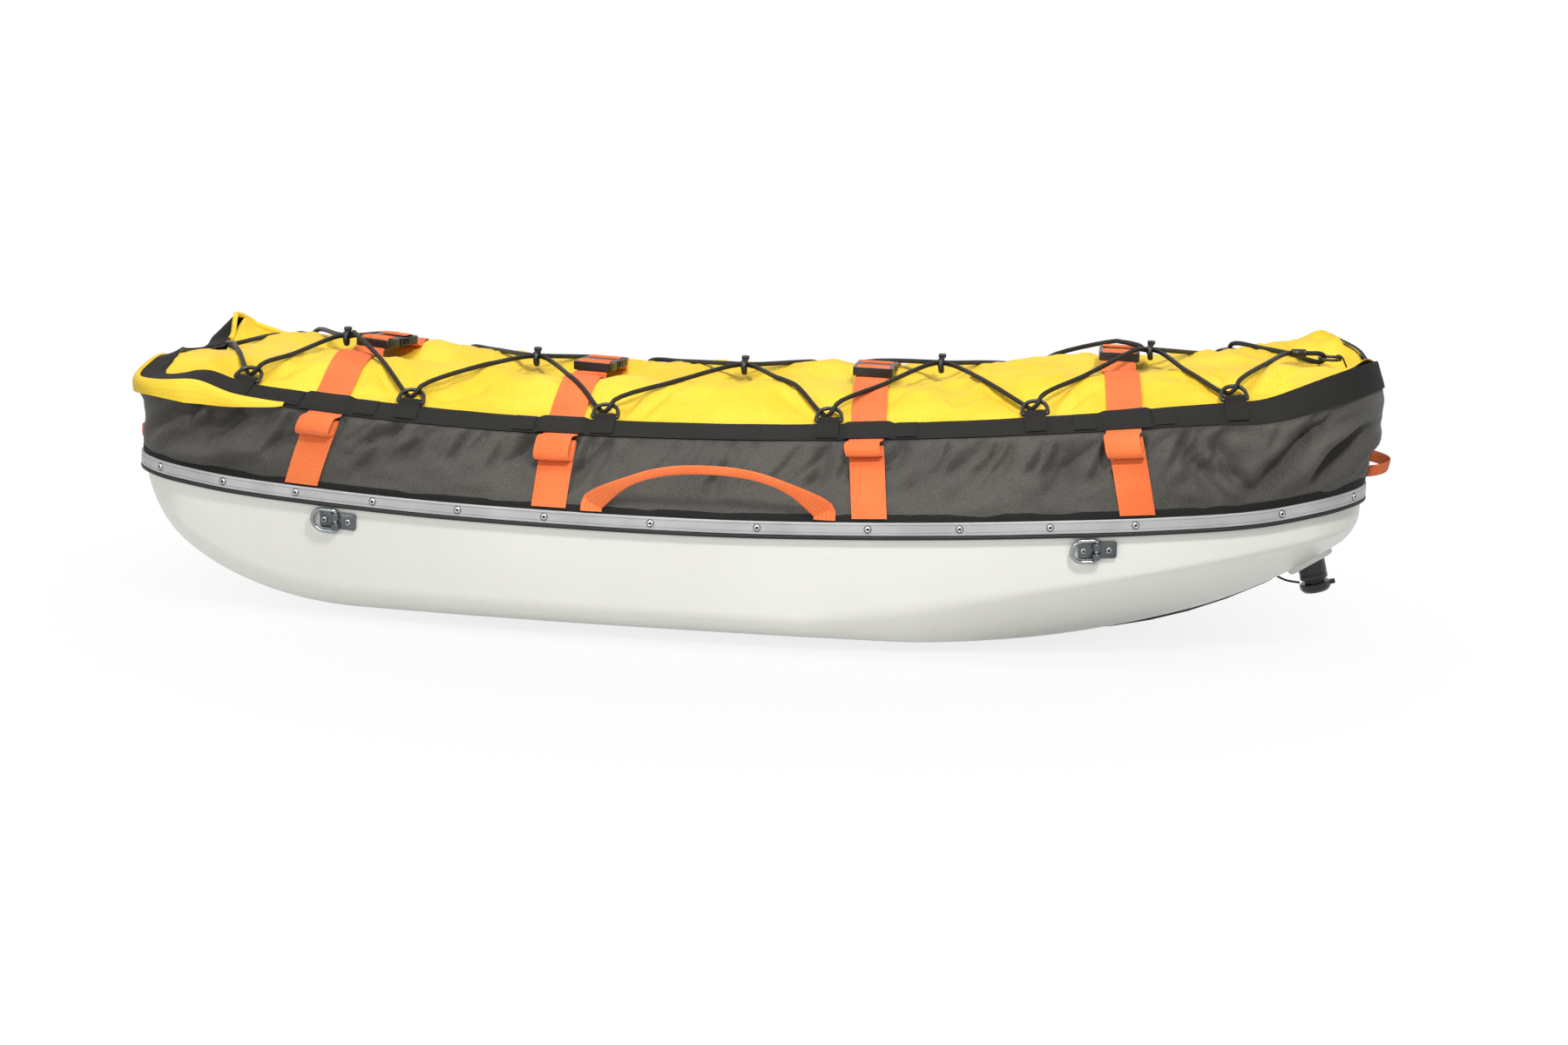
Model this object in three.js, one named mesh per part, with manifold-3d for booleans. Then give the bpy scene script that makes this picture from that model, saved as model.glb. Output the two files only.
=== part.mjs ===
// Pulk sled: a laminate hull with runners, an aluminium gunwale rail, a fabric skirt and cover,
// load straps with side-release buckles, and a shock cord laced through D-rings and links.
// Millimetres, +Z up, +X towards the bow. The soles of the runners lie at z = 0.

import * as THREE from 'three';
import { mergeVertices, mergeGeometries } from 'three/addons/utils/BufferGeometryUtils.js';
import Module from 'manifold-3d';

const wasm = await Module();
wasm.setup();

// Clearances
const fitGap = 0.3;
const workingGap = 0.6;
const strapGap = 1.3;
const cutOverrun = 5;

// Hull
const hullLength = 1440;
const hullBeam = 514;
const sternBeam = 330;
const bowBeam = 240;
const widestForward = 60;
const sternCorner = 60;
const bowCorner = 60;
const railHeight = 149;
const hullWall = 4;
const floorWidth = 370;
const keelWidthAtBow = 98;
const keelNarrowsFrom = 180;
const keelNarrowsOver = 340;
const bowRiseLength = 420;
const bowFaceHeight = 63;
const bowToe = 20;
const sternRiseLength = 270;
const transomHeight = 18;
const bilgeHeight = 25;
const bilgeRound = 18;
const chineRound = 12;
const chineStart = 8;
const sideCrown = 3;

// Shares along the hull, evenly spaced from the stern to the bow
const sheerShares = [1.138, 1.062, 1.028, 1.007, 1, 1, 1.01, 1.039, 1.079, 1.124, 1.166, 1.221, 1.345];
const skirtShares = [1.02, 1.07, 1.04, 1, 0.97, 0.98, 1, 1.025, 1.06, 1.11, 1.2, 1.34, 1.58];
const leanShares = [0.5, 0.46, 0.56, 0.73, 0.88, 0.97, 1, 1, 0.97, 0.88, 0.64, 0.28, -0.06];
const tiltShares = [1.25, 1.02, 0.96, 0.98, 1, 1, 1, 0.98, 0.97, 0.94, 0.88, 0.72, 0.31];
const crownShares = [0.6, 0.84, 1.05, 0.98, 1.02, 0.98, 1.09, 0.96, 0.93, 1.03, 0.88, 0.64, 0];
const chineSlopeShare = 0.2;
const flareShare = 0.2;
const sternFullnessPower = 2.6;
const bowFullnessPower = 2.8;
const bowRisePower = 2.4;
const sideSteps = 30;
const cornerSteps = 4;

// Runners under the hull
const runnerThickness = 8;
const centreRunnerWidth = 60;
const sideRunnerWidth = 30;
const sideRunnerOffset = 100;
const centreRunnerShares = [-0.778, 0.868];
const sideRunnerShares = [-0.694, 0.417];
const runnerTailShare = 0.035;
const runnerNoseShare = 0.24;

// Gunwale: rail, rivets and the seal under it
const railWidth = 15;
const railThickness = 3;
const rivetRadius = 4;
const rivetHeight = 1.8;
const rivetShares = [-0.938, -0.845, -0.736, -0.618, -0.48, -0.342, -0.16, 0.015, 0.196, 0.345, 0.493, 0.635, 0.868, 0.97];
const sealWidth = 5;
const sealDepth = 5.5;

// Skirt, its sewn edge band and the cover
const skirtThickness = 1.5;
const skirtHem = 12;
const skirtHeight = 95;
const skirtLean = 78;
const skirtBulge = 9;
const bandWidth = 30;
const bandTiltAngle = 64;
const bandThickness = 2;
const coverThickness = 2;
const coverCrown = 62;
const coverTrough = 34;
const coverTroughWidth = 70;
const coverEndFall = 70;
const coverFullnessPower = 1.9;
const coverColumnShares = [1, 0.86, 0.68, 0.48, 0.26, 0];
const flapThickness = 1.5;
const flapDepth = 26;
const flapEndShare = -0.757;

// Load straps and their buckles
const strapWidth = 40;
const strapThickness = 1.6;
const strapFoldReach = 12;
const strapTail = 10;
const strapShares = [
  { nearRail: -0.7056, nearBand: -0.6694, centre: -0.6319, farBand: -0.6167, farRail: -0.5806 },
  { nearRail: -0.2944, nearBand: -0.2861, centre: -0.2667, farBand: -0.278, farRail: -0.2833 },
  { nearRail: 0.2181, nearBand: 0.2028, centre: 0.1944, farBand: 0.2028, farRail: 0.2181 },
  { nearRail: 0.6389, nearBand: 0.6083, centre: 0.5958, farBand: 0.5972, farRail: 0.5694 },
];
const strapRunShares = [0.94, 0.86, 0.77, 0.68, 0.58, 0.48, 0.37, 0.26, 0.2];
const buckleTurnAngles = [-25, -12, -3, 0];
const buckleAside = [8, 0, 0, 16];
const buckleWidth = 48;
const buckleLength = 64;
const buckleThickness = 10;
const buckleCorner = 4;
const buckleBar = 4;
const buckleSlot = 5;
const buckleWall = 2.2;
const buckleSpread = 1.5;
const socketLength = 36;
const prongWidth = 5;
const prongLength = 21;
const prongThickness = 4.4;
const prongHook = 3.4;
const tongueWidth = 9;

// Band tabs and D-rings, cord links
const ringAlongShares = [-0.817, -0.54, -0.222, 0.139, 0.468, 0.782];
const ringWidth = 33;
const ringReach = 28;
const ringWire = 4;
const tabWidth = 25;
const tabLength = 26;
const tabThickness = 2.4;
const linkAlongShares = [-0.6986, -0.375, -0.025, 0.3028, 0.6458];
const linkLifts = [18, 18, 16, 20, 22];
const linkWidth = 20;
const linkHeight = 24;
const linkLength = 9;
const linkGap = 0.4;

// Shock cord
const cordDiameter = 5.6;
const slopeAllowance = 1.37;
const cordSides = 6;

// Hooks at the ends of the cord
const hookWidth = 14;
const hookPlate = 3;
const hookReach = 60;
const hookMouth = 7.2;
const bowRingWire = 3.6;
const bowRingLength = 26;
const bowRingWidth = 30;
const ferruleLength = 18;
const ferruleDiameter = 10;
const endTabWidth = 20;
const endTabThickness = 2;
const laidShares = [0.02, 0.2, 0.4, 0.6, 0.8, 1];

// Lashing rings on the hull
const lashingShares = [-0.645, 0.575];
const lashingDrop = 36;
const plateLength = 44;
const plateHeight = 20;
const plateThickness = 3;
const plateOffset = 2;
const screwRadius = 4;
const screwHeight = 1.8;
const screwReach = 14.5;
const knuckleRadius = 5;
const knuckleGap = 5;
const lashRingWire = 5;
const lashRingWidth = 31;
const lashRingReach = 31;

// Towing hitch under the bow
const hitchShare = 0.925;
const hitchTiltAngle = 14;
const hitchPadLength = 58;
const hitchPadWidth = 62;
const hitchPadThickness = 8;
const hitchRadius = 16.5;
const hitchDepth = 23;
const hitchNeck = 12;
const hitchNeckDepth = 4;
const collarRadius = 18.5;
const collarDepth = 11;
const collarLug = 6;
const lanyardWidth = 5;
const lanyardThickness = 2.5;

// Carrying handles
const handleWidth = 25;
const handleThickness = 2;
const handleFold = 12;
const sideHandleShares = [-0.225, 0.147];
const sideHandleRise = 46;
const sideHandleStand = 30;
const endHandleSpread = 60;
const endHandleStand = 28;
const endHandleWidth = 14;
const sideHandleRoot = 10;
const endHandleRoot = 6;

// Colours and finishes
const gelcoat = { color: 0xe8e8e2, roughness: 0.35, metalness: 0 };
const aluminium = { color: 0xb9bcbd, roughness: 0.35, metalness: 0.9 };
const blackRubber = { color: 0x161616, roughness: 0.7, metalness: 0 };
const blackPlastic = { color: 0x1b1c1d, roughness: 0.45, metalness: 0 };
const blackWebbing = { color: 0x17171a, roughness: 0.9, metalness: 0 };
const greyFabric = { color: 0x4b4944, roughness: 0.9, metalness: 0 };
const yellowFabric = { color: 0xf3d62b, roughness: 0.75, metalness: 0 };
const orangeWebbing = { color: 0xff7a40, roughness: 0.85, metalness: 0 };
const darkSteel = { color: 0x6d7072, roughness: 0.45, metalness: 0.85 };
const brightSteel = { color: 0xc9ccce, roughness: 0.2, metalness: 1 };

// Sizes worked out from the values above
const halfLength = hullLength / 2;
const flapEnd = flapEndShare * halfLength;
const hullBase = runnerThickness + fitGap;
const quarterTurn = Math.PI / 2;
const skirtInner = fitGap;
const skirtOuter = skirtInner + skirtThickness;
const railInner = skirtOuter + fitGap;
const railOuter = railInner + railThickness;
const strapOnSkirt = skirtOuter + strapGap;
const bandInner = skirtOuter + fitGap;
const bandOuter = bandInner + bandThickness;
const keeperInner = strapOnSkirt + strapThickness + workingGap;
const keeperOuter = keeperInner + bandThickness;

const { lerp, clamp, degToRad } = THREE.MathUtils;
const vec = (x, y, z) => new THREE.Vector3(x, y, z);
const ease = (t) => t * t * (3 - 2 * t);
const scaleTo = (list, size) => list.map((share) => share * size);

// General geometry

function closedGeometry(places, triangles) {
  const corners = triangles.map((index) => places[index]);
  let volume = 0;
  for (let k = 0; k < corners.length; k += 3) {
    volume += corners[k].dot(corners[k + 1].clone().cross(corners[k + 2]));
  }
  const turned = [...triangles];
  if (volume < 0) {
    for (let k = 0; k < turned.length; k += 3) [turned[k], turned[k + 1]] = [turned[k + 1], turned[k]];
  }
  const geometry = new THREE.BufferGeometry();
  geometry.setAttribute('position', new THREE.Float32BufferAttribute(places.flatMap((p) => p.toArray()), 3));
  geometry.setIndex(turned);
  return geometry;
}

// Closed sections carried through space: a bar, a tube or, when looped, a ring
function loft(sections, looped = false) {
  const count = sections[0].length;
  const places = sections.flat();
  const triangles = [];
  const last = looped ? sections.length : sections.length - 1;
  for (let i = 0; i < last; i++) {
    const here = i * count;
    const next = ((i + 1) % sections.length) * count;
    for (let j = 0; j < count; j++) {
      const k = (j + 1) % count;
      triangles.push(here + j, next + j, next + k, here + j, next + k, here + k);
    }
  }
  if (!looped) {
    const end = (sections.length - 1) * count;
    for (let j = 1; j < count - 1; j++) {
      triangles.push(0, j, j + 1);
      triangles.push(end, end + j + 1, end + j);
    }
  }
  return closedGeometry(places, triangles);
}

// A sheet with a thickness: two matching grids of places joined round their edges
function sheet(outer, inner) {
  const rows = outer.length;
  const columns = outer[0].length;
  const places = [...outer.flat(), ...inner.flat()];
  const shift = rows * columns;
  const triangles = [];
  for (let i = 0; i < rows - 1; i++) {
    for (let j = 0; j < columns - 1; j++) {
      const [a, b] = [i * columns + j, (i + 1) * columns + j];
      triangles.push(a, b, b + 1, a, b + 1, a + 1);
      triangles.push(shift + a, shift + b + 1, shift + b, shift + a, shift + a + 1, shift + b + 1);
    }
  }
  const edge = [];
  for (let j = 0; j < columns; j++) edge.push(j);
  for (let i = 1; i < rows; i++) edge.push(i * columns + columns - 1);
  for (let j = columns - 2; j >= 0; j--) edge.push((rows - 1) * columns + j);
  for (let i = rows - 2; i > 0; i--) edge.push(i * columns);
  edge.forEach((a, k) => {
    const b = edge[(k + 1) % edge.length];
    triangles.push(a, b, shift + b, a, shift + b, shift + a);
  });
  return closedGeometry(places, triangles);
}

function smoothPath(points, stepsPerSpan, looped = false) {
  const curve = new THREE.CatmullRomCurve3(points, looped, 'centripetal');
  const spans = looped ? points.length : points.length - 1;
  const places = [];
  for (let k = 0; k < spans * stepsPerSpan; k++) places.push(curve.getPoint(k / (spans * stepsPerSpan)));
  if (!looped) places.push(points[points.length - 1].clone());
  return places;
}

// A round tube along a list of places, its section turned as little as possible from one to the next
function tube(path, radius, sides, looped = false) {
  const count = path.length;
  const tangents = path.map((place, k) => {
    const before = looped ? path[(k + count - 1) % count] : path[Math.max(k - 1, 0)];
    const after = looped ? path[(k + 1) % count] : path[Math.min(k + 1, count - 1)];
    return after.clone().sub(before).normalize();
  });
  let across = vec(0, 0, 1);
  if (Math.abs(tangents[0].z) > 0.9) across = vec(1, 0, 0);
  const sections = path.map((place, k) => {
    across.sub(tangents[k].clone().multiplyScalar(across.dot(tangents[k]))).normalize();
    const other = tangents[k].clone().cross(across);
    const ring = [];
    for (let s = 0; s < sides; s++) {
      const turn = (2 * Math.PI * s) / sides;
      ring.push(place.clone()
        .addScaledVector(across, radius * Math.cos(turn))
        .addScaledVector(other, radius * Math.sin(turn)));
    }
    across = across.clone();
    return ring;
  });
  return loft(sections, looped);
}

// Webbing: a flat section carried along a path, with the side that its width lies along
function ribbon(path, widths, sideways, thickness) {
  const sections = path.map((place, k) => {
    const before = path[Math.max(k - 1, 0)];
    const after = path[Math.min(k + 1, path.length - 1)];
    const tangent = after.clone().sub(before).normalize();
    const across = sideways[k].clone();
    across.sub(tangent.clone().multiplyScalar(across.dot(tangent))).normalize();
    const normal = tangent.clone().cross(across);
    const corner = (a, n) => place.clone()
      .addScaledVector(across, (a * widths[k]) / 2)
      .addScaledVector(normal, (n * thickness) / 2);
    return [corner(1, 1), corner(-1, 1), corner(-1, -1), corner(1, -1)];
  });
  return loft(sections);
}

// Webbing between two matching edge lines
function ribbonBetween(lefts, rights, thickness) {
  const middles = lefts.map((left, k) => left.clone().lerp(rights[k], 0.5));
  return loft(middles.map((middle, k) => {
    const before = middles[Math.max(k - 1, 0)];
    const after = middles[Math.min(k + 1, middles.length - 1)];
    const normal = after.clone().sub(before).cross(rights[k].clone().sub(lefts[k])).setLength(thickness / 2);
    return [
      lefts[k].clone().add(normal), rights[k].clone().add(normal),
      rights[k].clone().sub(normal), lefts[k].clone().sub(normal),
    ];
  }));
}

// Parts of a flat polyline moved sideways by a distance, its corners mitred
function offsetLine(points, distance) {
  return points.map((point, k) => {
    const before = k > 0 ? unit(points[k - 1], point) : null;
    const after = k < points.length - 1 ? unit(point, points[k + 1]) : null;
    const [tx, ty] = before && after ? [before[0] + after[0], before[1] + after[1]] : before ?? after;
    const size = Math.hypot(tx, ty);
    const normal = [ty / size, -tx / size];
    const bend = before && after ? normal[0] * before[1] - normal[1] * before[0] : 1;
    return [point[0] + (normal[0] * distance) / bend, point[1] + (normal[1] * distance) / bend];
  });
}

function unit(from, to) {
  const size = Math.hypot(to[0] - from[0], to[1] - from[1]);
  return [(to[0] - from[0]) / size, (to[1] - from[1]) / size];
}

function solidOf(geometry) {
  const plain = geometry.clone();
  plain.deleteAttribute('normal');
  plain.deleteAttribute('uv');
  const merged = mergeVertices(plain);
  return new wasm.Manifold(new wasm.Mesh({
    numProp: 3,
    vertProperties: new Float32Array(merged.attributes.position.array),
    triVerts: new Uint32Array(merged.index.array),
  }));
}

function geometryOf(solid) {
  const mesh = solid.getMesh();
  const geometry = new THREE.BufferGeometry();
  geometry.setAttribute('position', new THREE.BufferAttribute(new Float32Array(mesh.vertProperties), 3));
  geometry.setIndex(new THREE.BufferAttribute(new Uint32Array(mesh.triVerts), 1));
  return geometry;
}

function joined(geometries) {
  return geometryOf(geometries.map(solidOf).reduce((all, next) => all.add(next)));
}

function cut(geometry, tools) {
  return geometryOf(tools.map(solidOf).reduce((all, next) => all.subtract(next), solidOf(geometry)));
}

function block(length, width, height, x = 0, y = 0, z = 0) {
  return new THREE.BoxGeometry(length, width, height).translate(x, y, z);
}

// A turned piece: the profile holds [radius, height] pairs from the axis at the foot to the axis at the top
function turned(profile, sides) {
  const outline = profile.map(([radius, height]) => new THREE.Vector2(radius, height));
  return mergeVertices(stripped(new THREE.LatheGeometry(outline, sides).rotateX(quarterTurn)));
}

function stripped(geometry) {
  geometry.deleteAttribute('normal');
  geometry.deleteAttribute('uv');
  return geometry;
}

function framed(geometry, frame) {
  return geometry.clone().applyMatrix4(frame);
}

// Hull lines

function along(shares, x) {
  const place = ((x + halfLength) / hullLength) * (shares.length - 1);
  const k = clamp(Math.floor(place), 0, shares.length - 2);
  const t = clamp(place - k, 0, 1);
  const at = (i) => shares[clamp(i, 0, shares.length - 1)];
  const [a, b, c, d] = [at(k - 1), at(k), at(k + 1), at(k + 2)];
  return b + 0.5 * t * (c - a + t * (2 * a - 5 * b + 4 * c - d + t * (3 * (b - c) + d - a)));
}

function sheer(x) {
  return hullBase + railHeight * along(sheerShares, x);
}

function halfBeam(x) {
  const forward = x > widestForward;
  const span = forward ? halfLength - widestForward : halfLength + widestForward;
  const end = (forward ? bowBeam : sternBeam) / 2;
  const power = forward ? bowFullnessPower : sternFullnessPower;
  const open = end + (hullBeam / 2 - end) * (1 - (Math.abs(x - widestForward) / span) ** power);
  const corner = forward ? bowCorner : sternCorner;
  const inset = clamp(corner - (halfLength - Math.abs(x)), 0, corner);
  return open - corner + Math.sqrt(corner ** 2 - inset ** 2);
}

function keel(x) {
  const bowRise = railHeight * along(sheerShares, halfLength) - bowFaceHeight;
  const sternRise = railHeight * along(sheerShares, -halfLength) - transomHeight;
  const bow = Math.max(0, x - halfLength + bowRiseLength) / bowRiseLength;
  const toe = clamp((x - halfLength + bowToe) / bowToe, 0, 1);
  const stern = clamp((-x - halfLength + sternRiseLength) / sternRiseLength, 0, 1);
  return hullBase + bowRise * bow ** bowRisePower
    + bowToe * (1 - Math.sqrt(1 - toe ** 2))
    + sternRise * (1 - Math.sqrt(1 - stern ** 2));
}

function chineHeight(x) {
  const line = hullBase + chineStart + chineSlopeShare * Math.max(0, x);
  return Math.min(Math.max(keel(x) + bilgeHeight, line), sheer(x) - transomHeight / 2);
}

function floorHalf(x) {
  const narrowing = ease(clamp((x - keelNarrowsFrom) / keelNarrowsOver, 0, 1));
  const full = (floorWidth / 2) * (halfBeam(x) / (hullBeam / 2));
  return lerp(full, keelWidthAtBow / 2, narrowing);
}

// Half of the hull's outer section at x, as [half width, height], from the keel to the rim
function hullSection(x) {
  const top = sheer(x) - fitGap;
  const rim = [halfBeam(x), top];
  const chine = [rim[0] - flareShare * (top - chineHeight(x)), chineHeight(x)];
  const edge = [Math.min(floorHalf(x), chine[0] - chineRound / 2), keel(x)];
  const facet = Math.hypot(chine[0] - edge[0], chine[1] - edge[1]);
  const side = Math.hypot(rim[0] - chine[0], rim[1] - chine[1]);
  const soft = ease(clamp((x - keelNarrowsFrom) / keelNarrowsOver, 0, 1));
  const edgeRound = Math.min(bilgeRound, facet * 0.45, edge[0] * 0.8);
  const sideRound = Math.min(lerp(bilgeRound, chineRound, soft), facet * 0.45, side * 0.45);
  const middle = mixed(chine, rim, 0.5);
  return [
    [0, edge[1]],
    ...rounded([0, edge[1]], edge, chine, edgeRound),
    ...rounded(edge, chine, rim, sideRound),
    [middle[0] + sideCrown * clamp(side / railHeight, 0, 1), middle[1]],
    rim,
  ];
}

function mixed(a, b, t) {
  return [lerp(a[0], b[0], t), lerp(a[1], b[1], t)];
}

// Three places round a corner
function rounded(before, corner, after, reach) {
  const towards = (to) => {
    const [dx, dy] = unit(corner, to);
    return [corner[0] + dx * reach, corner[1] + dy * reach];
  };
  const [start, end] = [towards(before), towards(after)];
  return [start, mixed(mixed(start, corner, 0.5), mixed(corner, end, 0.5), 0.5), end];
}

function stations() {
  const turns = [...Array(cornerSteps).keys()].map((k) => 1 - Math.cos((quarterTurn * k) / cornerSteps));
  const stern = turns.map((share) => -halfLength + sternCorner * share);
  const bow = turns.map((share) => halfLength - bowCorner * share).reverse();
  const middle = [...Array(sideSteps + 1).keys()].map((k) => (
    lerp(-halfLength + sternCorner, halfLength - bowCorner, k / sideSteps)));
  return [...stern, ...middle, ...bow];
}

const stationPlaces = stations();

// The rim seen from above, from the middle of the stern round the near side to the middle of the bow
const rimPlan = [[-halfLength, 0], ...stationPlaces.map((x) => [x, -halfBeam(x)]), [halfLength, 0]];

function rimOffset(distance) {
  return offsetLine(rimPlan, distance);
}

function hullShell() {
  const skin = (inset) => stationPlaces.map((station) => {
    const x = station * (1 - inset / halfLength);
    const half = hullSection(station).map(([y, z]) => [Math.max(0, y - inset), z + inset]);
    half[0][0] = 0;
    half[half.length - 1][1] -= inset;
    const near = half.map(([y, z]) => vec(x, -y, z)).reverse();
    const far = half.slice(1).map(([y, z]) => vec(x, y, z));
    return [...near, ...far];
  });
  const [outer, inner] = [skin(0), skin(hullWall)];
  const rows = outer.length;
  const columns = outer[0].length;
  const places = [...outer.flat(), ...inner.flat()];
  const shift = rows * columns;
  const triangles = [];
  for (let i = 0; i < rows - 1; i++) {
    for (let j = 0; j < columns - 1; j++) {
      const [a, b] = [i * columns + j, (i + 1) * columns + j];
      triangles.push(a, b + 1, b, a, a + 1, b + 1);
      triangles.push(shift + a, shift + b, shift + b + 1, shift + a, shift + b + 1, shift + a + 1);
    }
  }
  const rim = (a, b) => triangles.push(a, b, shift + b, a, shift + b, shift + a);
  for (let i = 0; i < rows - 1; i++) {
    rim(i * columns, (i + 1) * columns);
    rim((i + 2) * columns - 1, (i + 1) * columns - 1);
  }
  for (const [row, stern] of [[0, true], [rows - 1, false]]) {
    const first = row * columns;
    for (let j = 0; j < (columns - 1) / 2; j++) {
      const [a, b] = [first + j, first + columns - 1 - j];
      const faces = j < (columns - 1) / 2 - 1
        ? [[a, b, b - 1], [a, b - 1, a + 1]]
        : [[a, b, a + 1]];
      for (const [p, q, r] of faces) {
        triangles.push(...(stern ? [p, q, r] : [p, r, q]));
        triangles.push(...(stern ? [shift + p, shift + r, shift + q] : [shift + p, shift + q, shift + r]));
      }
    }
    const [a, b] = [first, first + columns - 1];
    if (stern) rim(b, a);
    else rim(a, b);
  }
  return closedGeometry(places, triangles);
}

function runner(endShares, offset, width) {
  const [sternEnd, bowEnd] = scaleTo(endShares, halfLength);
  const inside = stationPlaces.filter((x) => x > sternEnd + fitGap && x < bowEnd - fitGap);
  return loft([sternEnd, ...inside, bowEnd].map((x) => {
    const top = hullFloor(x) - fitGap;
    const [tail, nose] = [(x - sternEnd) / runnerTailShare, (bowEnd - x) / runnerNoseShare];
    const full = clamp(Math.min(tail, nose) / (bowEnd - sternEnd), 0, 1);
    const deep = lerp(runnerThickness / 3, runnerThickness, full);
    const [near, far] = [offset - width / 2, offset + width / 2];
    return [vec(x, near, top), vec(x, far, top), vec(x, far, top - deep), vec(x, near, top - deep)];
  }));
}

// The hull's underside as its facets lie between stations
function hullFloor(x) {
  const k = Math.min(stationPlaces.findIndex((place) => place > x), stationPlaces.length - 1) - 1;
  const t = (x - stationPlaces[k]) / (stationPlaces[k + 1] - stationPlaces[k]);
  return lerp(keel(stationPlaces[k]), keel(stationPlaces[k + 1]), t);
}

// Gunwale

// A flat section carried round half of the rim: reach outwards and height above the sheer
function gunwaleHalf(side, inner, outer, low, high) {
  const [innerLine, outerLine] = [rimOffset(inner), rimOffset(outer)];
  const last = rimPlan.length - 1;
  return loft(rimPlan.map((plan, k) => {
    const z = sheer(plan[0]);
    const split = k === 0 || k === last ? -fitGap : 0;
    const place = ([x, y], height) => vec(x, side * -(y + split), z + height);
    return [place(innerLine[k], low), place(outerLine[k], low), place(outerLine[k], high), place(innerLine[k], high)];
  }));
}

function rail(side) {
  const bar = gunwaleHalf(side, railInner, railOuter, -railWidth, 0);
  const rivets = scaleTo(rivetShares, halfLength).map((x) => {
    const frame = gunwaleFrame(x, side, railOuter, -railWidth / 2);
    return framed(dome(rivetRadius, rivetHeight), frame);
  });
  return joined([bar, ...rivets]);
}

function dome(radius, height) {
  return turned([[0, -height / 2], [radius, -height / 2], [radius, height / 4], [radius * 0.55, height], [0, height]], 8);
}

// A frame on the outside of the gunwale: x forward, y up, z outwards
function gunwaleFrame(x, side, outward, height) {
  const step = chineRound;
  const slope = (halfBeam(x + step) - halfBeam(x - step)) / (2 * step);
  const forward = vec(1, side * slope, 0).normalize();
  const out = vec(-slope, side, 0).normalize();
  if (side > 0) forward.negate();
  const up = out.clone().cross(forward);
  const line = rimOffset(outward);
  const place = onLine(line, x);
  return new THREE.Matrix4().makeBasis(forward, up, out).setPosition(x, side * -place, sheer(x) + height);
}

function onLine(line, x) {
  const k = clamp(line.findIndex(([px], i) => i > 0 && px > x) - 1, 0, line.length - 2);
  const t = (x - line[k][0]) / (line[k + 1][0] - line[k][0]);
  return lerp(line[k][1], line[k + 1][1], t);
}

function rimSeal() {
  const [low, high] = [-railWidth - fitGap - sealWidth, -railWidth - fitGap];
  const [innerLine, outerLine] = [rimOffset(fitGap), rimOffset(sealDepth)];
  const half = rimPlan.map((plan, k) => ({ inner: innerLine[k], outer: outerLine[k], z: sheer(plan[0]) }));
  const back = half.slice(1, -1).reverse().map(({ inner, outer, z }) => (
    { inner: [inner[0], -inner[1]], outer: [outer[0], -outer[1]], z }));
  return loft([...half, ...back].map(({ inner, outer, z }) => [
    vec(...inner, z + low), vec(...outer, z + low), vec(...outer, z + high), vec(...inner, z + high),
  ]), true);
}

// Skirt wall

// The wall's inner face at x as [outward, height above the sheer] pairs: hem, skirt, band
function wallLine(x) {
  const rise = skirtHeight * along(skirtShares, x);
  const lean = skirtLean * along(leanShares, x);
  const tilt = degToRad(bandTiltAngle * along(tiltShares, x));
  const top = [-lean, rise];
  const foot = [top[0] + bandWidth * Math.sin(tilt), top[1] - bandWidth * Math.cos(tilt)];
  const control = [foot[0] / 2 + skirtBulge, foot[1] * 0.55];
  const arc = [0.25, 0.5, 0.75].map((t) => mixed(mixed([0, 0], control, t), mixed(control, foot, t), t));
  return [[0, -skirtHem], [0, 0], ...arc, foot, top];
}

const wallShares = [-1, 0, 0.25, 0.5, 0.75, 1, 2];

// Half of the wall, one row per rim place, at a lift off the skirt's inner face
function wallRows(lift) {
  const last = rimPlan.length - 1;
  const lines = rimPlan.map(([x]) => offsetLine(wallLine(x), lift));
  return rimPlan.map((plan, k) => lines[k].map(([outward, height]) => {
    const [x, y] = rimOffsetAt(outward, k);
    const split = k === 0 || k === last ? fitGap : 0;
    return vec(x, y - split, sheer(plan[0]) + height);
  }));
}

const rimUnit = rimOffset(1);

function rimOffsetAt(distance, k) {
  const [x, y] = rimPlan[k];
  return [x + distance * (rimUnit[k][0] - x), y + distance * (rimUnit[k][1] - y)];
}

const rowCache = new Map();

function cachedRows(lift) {
  if (!rowCache.has(lift)) rowCache.set(lift, wallRows(lift));
  return rowCache.get(lift);
}

// A place on the wall over x, at a share up it and a lift off its inner face
function wallPlace(x, share, lift, side = -1) {
  const rows = cachedRows(lift);
  const column = clamp(wallShares.findIndex((value) => value > share) - 1, 0, wallShares.length - 2);
  const top = share >= wallShares[wallShares.length - 1] ? wallShares.length - 2 : column;
  const t = (share - wallShares[top]) / (wallShares[top + 1] - wallShares[top]);
  const onRow = (k) => rows[k][top].clone().lerp(rows[k][top + 1], t);
  let k = cornerSteps;
  while (k < rows.length - 2 && onRow(k + 1).x < x) k++;
  const [a, b] = [onRow(k), onRow(k + 1)];
  const place = a.lerp(b, (x - a.x) / (b.x - a.x));
  return vec(place.x, side * -place.y, place.z);
}

function sided(rows, side) {
  return rows.map((row) => row.map((place) => vec(place.x, side * -place.y, place.z)));
}

function skirt(side) {
  return sheet(sided(wallRows(skirtOuter), side), sided(wallRows(skirtInner), side));
}

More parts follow.
